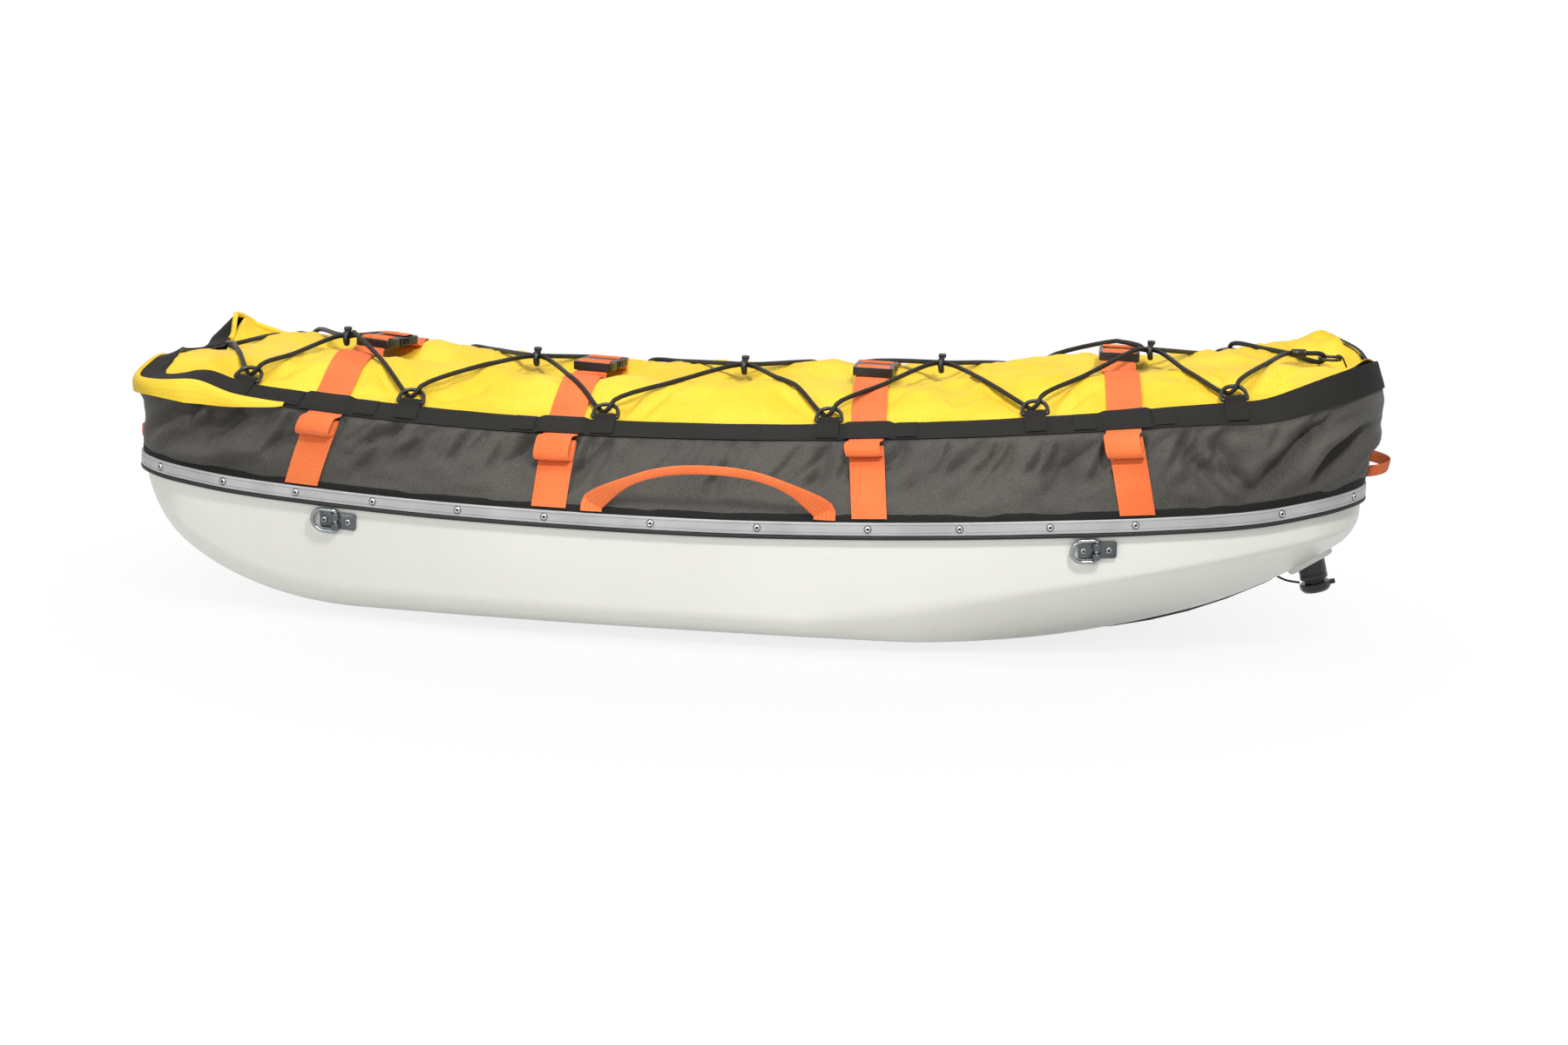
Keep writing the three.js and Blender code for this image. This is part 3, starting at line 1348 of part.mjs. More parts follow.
function hitchLanyard() {
  const half = lanyardThickness / 2;
  const x = centreRunnerShares[1] * halfLength;
  const start = vec(x + fitGap * 2, 0, hullFloor(x) - fitGap - runnerThickness / 3 + half);
  const end = vec(-hitchRadius - half, 0, -hitchDepth - hitchNeckDepth / 2).applyMatrix4(hitchAxis());
  const middle = start.clone().lerp(end, 0.5).sub(vec(0, 0, lanyardThickness));
  return ribbon([start, middle, end], [lanyardWidth, lanyardWidth, lanyardWidth],
    [vec(0, 1, 0), vec(0, 1, 0), vec(0, 1, 0)], lanyardThickness);
}

// Handles

function sideHandle(side) {
  const [first, last] = scaleTo(sideHandleShares, halfLength);
  const steps = 12;
  const rest = skirtOuter + fitGap * 7.5 + handleThickness / 2;
  const onWall = (x, up) => {
    const [foot, next] = [0, 0.25].map((share) => wallPlace(x, share, rest, side));
    return foot.lerp(next, up / (next.z - foot.z));
  };
  const path = [onWall(first, sideHandleRoot / 2)];
  const widths = [handleWidth];
  for (let k = 0; k <= steps; k++) {
    const t = (1 - Math.cos((Math.PI * k) / steps)) / 2;
    const arch = Math.sin(Math.PI * t);
    const root = onWall(lerp(first, last, t), sideHandleRoot);
    path.push(vec(root.x, root.y + side * sideHandleStand * arch ** 1.1, root.z + sideHandleRise * arch ** 0.7));
    widths.push(lerp(handleWidth, handleFold, ease(Math.min(1, arch * 1.3))));
  }
  path.push(onWall(last, sideHandleRoot / 2));
  widths.push(handleWidth);
  const sideways = path.map((place, k) => {
    const before = path[Math.max(k - 1, 0)];
    const after = path[Math.min(k + 1, path.length - 1)];
    return after.clone().sub(before).cross(vec(0, 1, 0)).normalize();
  });
  return ribbon(path, widths, sideways, handleThickness);
}

function endHandle(end) {
  const steps = 8;
  const path = [];
  const [lean, rise] = wallLine(end * halfLength)[2];
  const across = vec(end * lean, 0, rise).normalize();
  const height = endHandleRoot + endHandleWidth / 2;
  const base = halfLength + lean * (height / rise) + skirtOuter + workingGap + handleThickness * 0.45;
  for (let k = 0; k <= steps; k++) {
    const t = k / steps;
    const stand = endHandleStand * Math.sin(Math.PI * t) ** 0.7;
    path.push(vec(end * (base + stand), lerp(-endHandleSpread, endHandleSpread, t), sheer(end * halfLength) + height));
  }
  return ribbon(path, path.map(() => endHandleWidth), path.map(() => across), handleThickness);
}

// Assembly

const group = new THREE.Group();
const sides = [{ side: -1, word: 'near' }, { side: 1, word: 'far' }];

function add(name, geometry, look, frame = null, parent = group) {
  const mesh = new THREE.Mesh(geometry, new THREE.MeshStandardMaterial(look));
  mesh.name = name;
  if (frame) {
    frame.decompose(mesh.position, mesh.quaternion, mesh.scale);
  }
  parent.add(mesh);
  return mesh;
}

add('hull_shell', joined([hullShell(), hitchPad()]), gelcoat);
add('runner_centre', runner(centreRunnerShares, 0, centreRunnerWidth), blackPlastic);
for (const { side, word } of sides) {
  add(`runner_${word}`, runner(sideRunnerShares, side * sideRunnerOffset, sideRunnerWidth), blackPlastic);
}
add('rim_seal', rimSeal(), blackRubber);
for (const { side, word } of sides) {
  add(`rail_${word}`, rail(side), aluminium);
  add(`skirt_${word}`, skirt(side), greyFabric);
  add(`band_${word}`, band(side), blackWebbing);
  add(`handle_${word}`, sideHandle(side), orangeWebbing);
}
add('cover', cover(), yellowFabric);
add('stern_flap', sternFlap(), yellowFabric);

strapShares.forEach((row, index) => {
  const buckle = new THREE.Group();
  strapFrame(index).decompose(buckle.position, buckle.quaternion, buckle.scale);
  const number = index + 1;
  for (const { side, word } of sides) add(`strap_${number}_${word}`, strap(index, side), orangeWebbing);
  add(`buckle_socket_${number}`, buckleSocket(), blackPlastic, null, buckle);
  add(`buckle_plug_${number}`, bucklePlug(), blackPlastic, null, buckle);
  for (const [turn, word] of [[-1, 'stern'], [1, 'bow']]) {
    const at = new THREE.Matrix4().makeTranslation(turn * prongX, prongRootY, buckleThickness / 2);
    add(`buckle_prong_${number}_${word}`, prong(turn), blackPlastic, at, buckle);
  }
  group.add(buckle);
});

linkPlaces().forEach((place, index) => {
  add(`cord_link_${index + 1}`, cordLink(), blackPlastic, new THREE.Matrix4().setPosition(place));
});
add('shock_cord', shockCord(), blackWebbing);
add('stern_hook', sternHook(), blackPlastic);
add('bow_ring', bowRing(), blackPlastic);

for (const [share, end] of [[lashingShares[0], 'stern'], [lashingShares[1], 'bow']]) {
  for (const { side, word } of sides) {
    const frame = lashingFrame(share, side);
    add(`lashing_plate_${end}_${word}`, lashingPlate(side), darkSteel, frame);
    const hinge = frame.clone().multiply(new THREE.Matrix4().makeTranslation(0, 0, knuckleRadius));
    add(`lashing_ring_${end}_${word}`, lashingRing(side), brightSteel, hinge);
  }
}

add('hitch_socket', hitchSocket(), blackPlastic);
add('hitch_collar', hitchCollar(), blackPlastic, hitchAxis());
add('hitch_lanyard', hitchLanyard(), blackWebbing);
add('handle_bow', endHandle(1), orangeWebbing);
add('handle_stern', endHandle(-1), orangeWebbing);

export default group;
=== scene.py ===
# %% [markdown]
# # A pulk sled
# A pulk is the sled that a skier or a dog pulls over snow. This one has a laminate hull, a rail riveted
# round its rim, a grey fabric skirt, and a yellow cover that straps and a laced shock cord hold down.
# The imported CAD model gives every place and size, and this file dresses it piece by piece.

import math

import bmesh
import bpy
import numpy as np
from mathutils import Matrix


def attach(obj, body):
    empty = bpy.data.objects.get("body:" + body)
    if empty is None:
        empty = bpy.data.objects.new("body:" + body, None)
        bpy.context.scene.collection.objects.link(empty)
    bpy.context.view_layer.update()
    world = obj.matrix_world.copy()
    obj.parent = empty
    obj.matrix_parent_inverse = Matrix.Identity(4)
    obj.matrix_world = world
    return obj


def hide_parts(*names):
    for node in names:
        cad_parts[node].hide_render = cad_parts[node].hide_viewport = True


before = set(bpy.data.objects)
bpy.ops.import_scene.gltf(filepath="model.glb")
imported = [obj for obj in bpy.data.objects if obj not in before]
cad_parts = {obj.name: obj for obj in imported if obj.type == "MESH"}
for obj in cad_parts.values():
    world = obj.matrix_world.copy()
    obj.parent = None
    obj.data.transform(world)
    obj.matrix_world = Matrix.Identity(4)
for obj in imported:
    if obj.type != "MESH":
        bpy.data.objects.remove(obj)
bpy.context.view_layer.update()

# %% [markdown]
# ## Camera
# The photograph looks at the near side from a little towards the bow and a little above. The place was
# solved from the rivets, rings and straps, so it is written as a target, a distance and three angles.

# %% Camera
MM = 0.001
VIEW_TARGET = np.array([37.3, 0.0, 108.9])
VIEW_DISTANCE = 4400.0
VIEW_AZIMUTH, VIEW_HEIGHT, VIEW_ROLL = np.radians([5.0, 11.0, 2.3])
LENS, SENSOR = 83.52, 36


def camera_axes():
    """Right, up and back of the camera: back from azimuth and height, the others turned by the roll."""
    a, e, roll = VIEW_AZIMUTH, VIEW_HEIGHT, VIEW_ROLL
    back = np.array([math.sin(a) * math.cos(e), -math.cos(a) * math.cos(e), math.sin(e)])
    right = np.array([math.cos(a), math.sin(a), 0.0])
    up = np.cross(back, right)
    turned_right = math.cos(roll) * right + math.sin(roll) * up
    return turned_right, np.cross(back, turned_right), back


def world_matrix(axes, place):
    """A 4 by 4 matrix from three axes and a place."""
    return Matrix([[*(axis[row] for axis in axes), place[row]] for row in range(3)] + [[0, 0, 0, 1]])


axes = camera_axes()
view = bpy.data.cameras.new("view")
view.lens = LENS
view.sensor_width = SENSOR
camera = bpy.data.objects.new("view", view)
bpy.context.collection.objects.link(camera)
place = (VIEW_TARGET + VIEW_DISTANCE * axes[2]) * MM
camera.matrix_world = world_matrix(axes, place)
bpy.context.scene.camera = camera
bpy.context.scene.view_settings.view_transform = "Standard"
print("camera at", place.round(3))

# %% [markdown]
# ## Shader building blocks
# A material here is a handful of nodes. The helper below adds one node and fills its sockets, either with
# a number or with a link, so that a whole material reads as a few lines.

# %% Node helpers
def srgb(red, green, blue):
    """Linear colour of a screen colour given as 0 to 255."""
    share = np.array([red, green, blue]) / 255
    linear = np.where(share <= 0.04045, share / 12.92, ((share + 0.055) / 1.055) ** 2.4)
    return (*linear.tolist(), 1.0)


def add_node(tree, kind, inputs=None, **settings):
    """Adds a node to a tree; inputs maps socket names or numbers to values or to sockets to link."""
    made = tree.nodes.new(kind)
    for key, value in settings.items():
        setattr(made, key, value)
    for key, value in (inputs or {}).items():
        if isinstance(value, bpy.types.NodeSocket):
            tree.links.new(value, made.inputs[key])
        else:
            made.inputs[key].default_value = value
    return made


def sums(tree, operation, *values):
    """The result of a Math node."""
    return add_node(tree, "ShaderNodeMath", dict(enumerate(values)), operation=operation).outputs[0]


def weighted(tree, *pairs):
    """Values times their weights, added up in turn."""
    total = None
    for value, weight in pairs:
        part = sums(tree, "MULTIPLY", value, weight)
        total = part if total is None else sums(tree, "ADD", total, part)
    return total


def noise(tree, place, scale, detail):
    """Noise from 0 to 1 with features of one over the scale in metres."""
    inputs = {"Vector": place, "Scale": scale, "Detail": detail}
    return add_node(tree, "ShaderNodeTexNoise", inputs).outputs["Fac"]


def ramp(tree, value, low, high, start=0.0, end=1.0):
    """A value taken smoothly from one range to another."""
    return add_node(tree, "ShaderNodeMapRange", {
        "Value": value, "From Min": low, "From Max": high, "To Min": start, "To Max": end,
    }, interpolation_type="SMOOTHSTEP").outputs["Result"]


def blend_colour(tree, factor, first, second):
    """Two colours mixed by a factor."""
    made = add_node(tree, "ShaderNodeMix", {"Factor": factor, 6: first, 7: second}, data_type="RGBA")
    return made.outputs[2]


def new_group(name, inputs, outputs):
    """A node group with named float or vector inputs and outputs."""
    tree = bpy.data.node_groups.new(name, "ShaderNodeTree")
    for title, kind, value in inputs:
        socket = tree.interface.new_socket(title, in_out="INPUT", socket_type=kind)
        if value is not None:
            socket.default_value = value
    for title, kind in outputs:
        tree.interface.new_socket(title, in_out="OUTPUT", socket_type=kind)
    return tree, tree.nodes.new("NodeGroupInput"), tree.nodes.new("NodeGroupOutput")


# %% [markdown]
# ## Effects that several finishes share
# Woven goods need threads that follow the cloth, so the weave group reads the piece's own map, which is
# laid in metres. Worn tone and fine grain are groups too, each placed with its own values.

# %% Weave group
VECTOR, FLOAT = "NodeSocketVector", "NodeSocketFloat"


def weave_group():
    """Threads crossing: height is the product of two rounded ribs, |sin| along the cloth and across it."""
    tree, given, out = new_group("weave", [
        ("Place", VECTOR, None), ("Along", FLOAT, 600.0), ("Across", FLOAT, 600.0), ("Skew", FLOAT, 0.0),
    ], [("Height", FLOAT)])
    parts = add_node(tree, "ShaderNodeSeparateXYZ", {0: given.outputs["Place"]})
    slant = sums(tree, "MULTIPLY", parts.outputs[1], given.outputs["Skew"])
    skewed = sums(tree, "ADD", parts.outputs[0], slant)
    ribs = []
    for value, pitch in ((skewed, "Along"), (parts.outputs[1], "Across")):
        turn = sums(tree, "MULTIPLY", sums(tree, "MULTIPLY", value, given.outputs[pitch]), math.pi)
        ribs.append(sums(tree, "ABSOLUTE", sums(tree, "SINE", turn)))
    tree.links.new(sums(tree, "MULTIPLY", ribs[0], ribs[1]), out.inputs["Height"])
    return tree


def tone_group():
    """Uneven tone: a coarse noise as the shade and a fine one as the grain, each from 0 to 1."""
    tree, given, out = new_group("tone", [
        ("Place", VECTOR, None), ("Coarse", FLOAT, 12.0), ("Fine", FLOAT, 300.0),
    ], [("Shade", FLOAT), ("Grain", FLOAT)])
    coarse = noise(tree, given.outputs["Place"], given.outputs["Coarse"], 4.0)
    fine = noise(tree, given.outputs["Place"], given.outputs["Fine"], 2.0)
    tree.links.new(ramp(tree, coarse, 0.3, 0.7), out.inputs["Shade"])
    tree.links.new(ramp(tree, fine, 0.3, 0.7), out.inputs["Grain"])
    return tree


def grid_group():
    """Ripstop: a mask that is 1 on the thicker threads, which cross at an even pitch."""
    tree, given, out = new_group("ripstop", [
        ("Place", VECTOR, None), ("Pitch", FLOAT, 0.005), ("Width", FLOAT, 0.16),
    ], [("Line", FLOAT)])
    parts = add_node(tree, "ShaderNodeSeparateXYZ", {0: given.outputs["Place"]})
    lines = []
    for part in parts.outputs[:2]:
        share = sums(tree, "FRACT", sums(tree, "DIVIDE", part, given.outputs["Pitch"]))
        away = sums(tree, "ABSOLUTE", sums(tree, "SUBTRACT", share, 0.5))
        lines.append(ramp(tree, away, 0.5, sums(tree, "SUBTRACT", 0.5, given.outputs["Width"]), 1.0, 0.0))
    tree.links.new(sums(tree, "MAXIMUM", lines[0], lines[1]), out.inputs["Line"])
    return tree


def wear_group():
    """Edge wear: 1 where the surface's pointiness is high, broken up by noise."""
    tree, given, out = new_group("edge_wear", [
        ("Place", VECTOR, None), ("Start", FLOAT, 0.52), ("End", FLOAT, 0.62),
    ], [("Mask", FLOAT)])
    point = add_node(tree, "ShaderNodeNewGeometry").outputs["Pointiness"]
    broken = noise(tree, given.outputs["Place"], 60.0, 3.0)
    edge = ramp(tree, point, given.outputs["Start"], given.outputs["End"])
    tree.links.new(sums(tree, "MULTIPLY", edge, broken), out.inputs["Mask"])
    return tree


WEAVE, TONE, RIPSTOP, WEAR = weave_group(), tone_group(), grid_group(), wear_group()
print("groups", [group.name for group in (WEAVE, TONE, RIPSTOP, WEAR)])

# %% [markdown]
# ## Finishes
# Each finish starts from a Principled shader. The starter gives the material's tree, the shader, and two
# sets of coordinates: the object's own place for hard goods and the cloth map for woven ones.

# %% Finish helpers
def start_finish(name, roughness, metallic=0.0, **fixed):
    """A new material, its tree, its shader and the places that its patterns read."""
    made = bpy.data.materials.new(name)
    made.use_nodes = True
    tree = made.node_tree
    shader = tree.nodes["Principled BSDF"]
    shader.inputs["Roughness"].default_value = roughness
    shader.inputs["Metallic"].default_value = metallic
    for title, value in fixed.items():
        shader.inputs[title.replace("_", " ")].default_value = value
    places = tree.nodes.new("ShaderNodeTexCoord")
    return made, tree, shader, places.outputs["Object"], places.outputs["UV"]


def place_group(tree, group, **inputs):
    """A shared group placed in a material with its own values."""
    return add_node(tree, "ShaderNodeGroup", inputs, node_tree=group)


def set_colour(tree, shader, factor, first, second):
    """The shader's base colour mixed from two by a factor."""
    tree.links.new(blend_colour(tree, factor, first, second), shader.inputs["Base Color"])


def set_bump(tree, shader, height, distance):
    """A height from 0 to 1 made into the shader's normal; the distance is its depth in metres."""
    bump = add_node(tree, "ShaderNodeBump", {"Height": height, "Distance": distance, "Strength": 1.0})
    tree.links.new(bump.outputs[0], shader.inputs["Normal"])


def woven_finish(name, dark, light, along, across, roughness=0.85, skew=0.0, depth=0.0004, sheen=0.05):
    """Webbing or tape: threads at a pitch, a tone that wanders, and darker gaps between the threads."""
    made, tree, shader, place, cloth = start_finish(name, roughness, Sheen_Weight=sheen, Sheen_Roughness=0.5,
                                                    Specular_IOR_Level=0.3)
    threads = place_group(tree, WEAVE, Place=cloth, Along=along, Across=across, Skew=skew).outputs["Height"]
    tone = place_group(tree, TONE, Place=place, Coarse=14.0, Fine=900.0)
    shade = weighted(tree, (threads, 0.55), (tone.outputs["Shade"], 0.25), (tone.outputs["Grain"], 0.2))
    set_colour(tree, shader, shade, dark, light)
    set_bump(tree, shader, threads, depth)
    return made


def moulded_finish(name, dark, light, roughness, grain=700.0, depth=0.00008, coat=0.0, metallic=0.0):
    """Moulded or painted goods: a slightly uneven tone, lighter worn edges and a fine grain."""
    made, tree, shader, place, _ = start_finish(name, roughness, metallic, Coat_Weight=coat)
    tone = place_group(tree, TONE, Place=place, Coarse=18.0, Fine=grain)
    worn = place_group(tree, WEAR, Place=place, Start=0.53, End=0.66).outputs["Mask"]
    set_colour(tree, shader, weighted(tree, (tone.outputs["Shade"], 0.4), (worn, 0.6)), dark, light)
    tree.links.new(ramp(tree, tone.outputs["Grain"], 0.0, 1.0, roughness - 0.06, roughness + 0.08),
                   shader.inputs["Roughness"])
    set_bump(tree, shader, tone.outputs["Grain"], depth)
    return made


# %% [markdown]
# ## Woven finishes
# Webbing, canvas and ripstop differ in the pitch of their threads, in tone and in the way they catch light.
# One function makes every webbing from two colours and two pitches, because only those differ; ripstop and
# canvas have a pattern of their own and get a function each.

# %% Fabrics
def yellow_ripstop():
    """Coated yellow ripstop: a satin cloth with thicker threads every 5 mm and faint puckers."""
    made, tree, shader, place, cloth = start_finish("yellow_ripstop", 0.6, Sheen_Weight=0.05,
                                                    Sheen_Roughness=0.4)
    line = place_group(tree, RIPSTOP, Place=cloth, Pitch=0.005, Width=0.13).outputs["Line"]
    tone = place_group(tree, TONE, Place=place, Coarse=9.0, Fine=420.0)
    threads = place_group(tree, WEAVE, Place=cloth, Along=1600.0, Across=1600.0).outputs["Height"]
    base = blend_colour(tree, tone.outputs["Shade"], srgb(232, 192, 30), srgb(243, 208, 56))
    set_colour(tree, shader, sums(tree, "MULTIPLY", line, 0.35), base, srgb(218, 176, 24))
    height = weighted(tree, (line, 0.7), (threads, 0.2), (tone.outputs["Grain"], 0.3))
    set_bump(tree, shader, height, 0.00025)
    return made


def grey_canvas():
    """Warm dark grey canvas: heathered threads, two greys that mix at the scale of the yarn."""
    made, tree, shader, place, cloth = start_finish("grey_canvas", 0.66, Sheen_Weight=0.12,
                                                    Sheen_Roughness=0.4)
    tone = place_group(tree, TONE, Place=place, Coarse=6.0, Fine=850.0)
    threads = place_group(tree, WEAVE, Place=cloth, Along=900.0, Across=900.0).outputs["Height"]
    flecks = weighted(tree, (tone.outputs["Grain"], 0.75), (tone.outputs["Shade"], 0.25))
    set_colour(tree, shader, flecks, srgb(41, 39, 35), srgb(82, 79, 72))
    set_bump(tree, shader, sums(tree, "ADD", threads, tone.outputs["Grain"]), 0.00018)
    return made


def braided_cord():
    """Shock cord sheath: strands that cross on a slant, from the cord's own map."""
    return woven_finish("braided_cord", srgb(4, 4, 5), srgb(25, 25, 26), 320.0, 500.0, 0.45, 0.9, sheen=0.0)


YELLOW = yellow_ripstop()
GREY = grey_canvas()
CORD = braided_cord()
ORANGE = woven_finish("orange_webbing", srgb(226, 92, 40), srgb(248, 142, 82), 330.0, 520.0, 0.75, 0.35)
BLACK_WEB = woven_finish("black_webbing", srgb(8, 7, 7), srgb(34, 32, 28), 330.0, 480.0, 0.8, 0.3, sheen=0.0)
BINDING = woven_finish("black_binding", srgb(7, 7, 7), srgb(30, 29, 27), 420.0, 600.0, depth=0.0003,
                       sheen=0.0)

# %% [markdown]
# ## Moulded, painted and metal finishes
# Plastic, rubber, paint and small metal parts share one recipe: an uneven tone, lighter edges where hands
# rub, and a fine grain. The gelcoat and the brushed rail fill much of the picture, so each has its own.

# %% Hard goods
def gelcoat():
    """Off-white gelcoat: almost even, with a satin gloss and the faint waviness of a moulded skin."""
    made, tree, shader, place, _ = start_finish("gelcoat", 0.34, Coat_Weight=0.15, Coat_Roughness=0.25)
    tone = place_group(tree, TONE, Place=place, Coarse=3.0, Fine=60.0)
    scuffs = noise(tree, place, 140.0, 6.0)
    base = blend_colour(tree, tone.outputs["Shade"], srgb(226, 226, 219), srgb(234, 234, 229))
    set_colour(tree, shader, ramp(tree, scuffs, 0.66, 0.8, 0.0, 0.5), base, srgb(205, 204, 196))
    tree.links.new(ramp(tree, scuffs, 0.3, 0.8, 0.3, 0.44), shader.inputs["Roughness"])
    set_bump(tree, shader, tone.outputs["Grain"], 0.00006)
    return made


def brushed_aluminium():
    """Extruded rail: metal with fine lines drawn along it, from the piece's own map."""
    made, tree, shader, place, along = start_finish("brushed_aluminium", 0.3, 0.8)
    stretched = add_node(tree, "ShaderNodeMapping", {"Vector": along, "Scale": (6.0, 1400.0, 1.0)}).outputs[0]
    lines = noise(tree, stretched, 1.0, 5.0)
    tone = place_group(tree, TONE, Place=place, Coarse=22.0, Fine=500.0)
    shade = weighted(tree, (lines, 0.7), (tone.outputs["Shade"], 0.3))
    set_colour(tree, shader, shade, srgb(152, 153, 153), srgb(196, 197, 196))
    tree.links.new(ramp(tree, lines, 0.2, 0.8, 0.5, 0.64), shader.inputs["Roughness"])
    set_bump(tree, shader, lines, 0.00006)
    return made


GELCOAT = gelcoat()
RAIL_METAL = brushed_aluminium()
RIVET_METAL = moulded_finish("rivet_metal", srgb(170, 172, 174), srgb(226, 228, 230), 0.28, 500.0, 0.00003,
                             metallic=1.0)
ZINC = moulded_finish("bright_zinc", srgb(132, 137, 139), srgb(208, 211, 213), 0.2, 160.0, 0.00006,
                      metallic=1.0)
PLATE_METAL = moulded_finish("dark_plate", srgb(84, 87, 89), srgb(138, 141, 143), 0.4, 420.0, metallic=0.9)
RUBBER = moulded_finish("black_rubber", srgb(8, 8, 8), srgb(32, 32, 31), 0.6, 500.0, 0.0001)
PLASTIC = moulded_finish("black_plastic", srgb(7, 8, 8), srgb(32, 33, 34), 0.34, 900.0, 0.00006)
PAINTED = moulded_finish("black_painted_wire", srgb(5, 5, 6), srgb(24, 24, 25), 0.36, 500.0, 0.00005, 0.1)
RUNNER = moulded_finish("runner_plastic", srgb(12, 12, 13), srgb(46, 46, 46), 0.5, 300.0, 0.00015)
# A near-black finish of painted shade: the shade in rivet holes and screw sockets, and the shadow round rivet
# heads.
HOLE_SHADE = moulded_finish("painted_hole_shade", srgb(16, 16, 17), srgb(40, 40, 41), 0.6, 500.0, 0.00003)
print("materials", len(bpy.data.materials))

# %% [markdown]
# ## Surfaces from arrays
# Every new piece is a grid of places worked out with numpy: a sheet with two faces, or a section carried
# along a path. A patch is one closed body; a piece is one or more patches in one object.

# %% Array helpers
def unit(vectors):
    """Vectors scaled to length one."""
    return vectors / np.maximum(np.linalg.norm(vectors, axis=-1, keepdims=True), 1e-12)


def mix(first, second, share):
    """A straight mix of two values."""
    return first + (second - first) * share


def ease(share):
    """3t^2 - 2t^3 on a share kept between 0 and 1."""
    share = np.clip(share, 0, 1)
    return share * share * (3 - 2 * share)


def vec(x, y, z):
    """Three arrays or numbers as places."""
    return np.stack(np.broadcast_arrays(x, y, z), -1).astype(float)


def run_of(line):
    """Length along a line of places at each place."""
    return np.concatenate([[0], np.cumsum(np.linalg.norm(np.diff(line, axis=0), axis=1))])


def through(points, steps, looped=False):
    """A smooth line through points: centripetal Catmull-Rom, its knots spaced by the root of the distance."""
    points = np.asarray(points, float)
    ring = np.vstack([points[-1:], points, points[:2]]) if looped else np.vstack(
        [2 * points[0] - points[1], points, 2 * points[-1] - points[-2]])
    spans = len(points) if looped else len(points) - 1
    t = np.linspace(0, 1, steps, endpoint=False)[:, None]
    p = [ring[k:k + spans, None] for k in range(4)]
    gaps = [np.maximum(np.linalg.norm(b - a, axis=-1, keepdims=True) ** 0.5, 1e-6) for a, b in zip(p, p[1:])]
    k1 = gaps[0]
    k2 = k1 + gaps[1]
    k3 = k2 + gaps[2]
    at = k1 + (k2 - k1) * t[None]
    a1 = (k1 - at) / k1 * p[0] + at / k1 * p[1]
    a2 = (k2 - at) / (k2 - k1) * p[1] + (at - k1) / (k2 - k1) * p[2]
    a3 = (k3 - at) / (k3 - k2) * p[2] + (at - k2) / (k3 - k2) * p[3]
    b1 = (k2 - at) / k2 * a1 + at / k2 * a2
    b2 = (k3 - at) / (k3 - k1) * a2 + (at - k1) / (k3 - k1) * a3
    line = ((k2 - at) / (k2 - k1) * b1 + (at - k1) / (k2 - k1) * b2).reshape(-1, points.shape[-1])
    return line if looped else np.vstack([line, points[-1:]])


def spaced(line, count, looped=False):
    """The same line with its places evenly spaced."""
    if looped:
        line = np.vstack([line, line[:1]])
    run = run_of(line)
    at = np.linspace(0, run[-1], count + 1 if looped else count)
    made = np.stack([np.interp(at, run, line[:, k]) for k in range(line.shape[1])], -1)
    return made[:-1] if looped else made


def frame_from(x_axis, y_axis, z_axis, origin):
    """A 4 by 4 frame from three axes and an origin."""
    made = np.eye(4)
    made[:3, :3] = np.stack([x_axis, y_axis, z_axis], 1)
    made[:3, 3] = origin
    return made


def moved(origin):
    """A frame that is moved to an origin and not turned."""
    return frame_from([1, 0, 0], [0, 1, 0], [0, 0, 1], origin)


def placed(points, at):
    """Places given in a frame, in the sled's own."""
    return np.asarray(points, float) @ at[:3, :3].T + at[:3, 3]


# %% Patches
def faces_outwards(points, quads, tris):
    """True where the faces enclose a positive volume: the sum of a . (b x c) over their triangles."""
    corners = np.concatenate([quads[:, [0, 1, 2]], quads[:, [0, 2, 3]], tris.reshape(-1, 3)])
    a, b, c = (points[corners[:, k]] for k in range(3))
    return np.einsum("ij,ij->i", a - points[0], np.cross(b - points[0], c - points[0])).sum() >= 0


def patch(points, quads, tris, quad_map, tri_map, look=0):
    """One closed body: places in millimetres, faces, and each face's corners on the cloth map in metres."""
    if not faces_outwards(points, quads, tris):
        quads, quad_map = quads[:, ::-1], quad_map[:, ::-1]
        tris, tri_map = tris[:, ::-1], tri_map[:, ::-1]
    return {"points": points, "quads": quads, "tris": tris, "quad_map": quad_map, "tri_map": tri_map,
            "look": look}


def corners_of(index):
    """The four corners of each cell of an index grid, or of a grid of map places."""
    return np.stack([index[:-1, :-1], index[1:, :-1], index[1:, 1:], index[:-1, 1:]], 2)


def cloth(front, back, across=None):
    """A sheet with a thickness: a front and a back grid joined round their edges."""
    rows, columns = front.shape[:2]
    along = run_of(front[:, columns // 2]) * MM
    if across is None:
        across = run_of(front[rows // 2]) * MM
    laid = np.stack(np.broadcast_arrays(along[:, None], across[None]), -1)
    index = np.arange(rows * columns).reshape(rows, columns)
    cells, cell_map = corners_of(index).reshape(-1, 4), corners_of(laid).reshape(-1, 4, 2)
    shift = rows * columns
    edge = np.concatenate([index[0, :-1], index[:-1, -1], index[-1, :0:-1], index[:0:-1, 0]])
    after = np.roll(edge, -1)
    rim = np.stack([edge, after, after + shift, edge + shift], 1)
    flat = laid.reshape(-1, 2)
    rim_map = flat[np.stack([edge, after, after, edge], 1)]
    quads = np.concatenate([cells, cells[:, ::-1] + shift, rim])
    quad_map = np.concatenate([cell_map, cell_map[:, ::-1], rim_map])
    points = np.concatenate([front.reshape(-1, 3), back.reshape(-1, 3)])
    return patch(points, quads, np.zeros((0, 3), int), quad_map, np.zeros((0, 3, 2)))


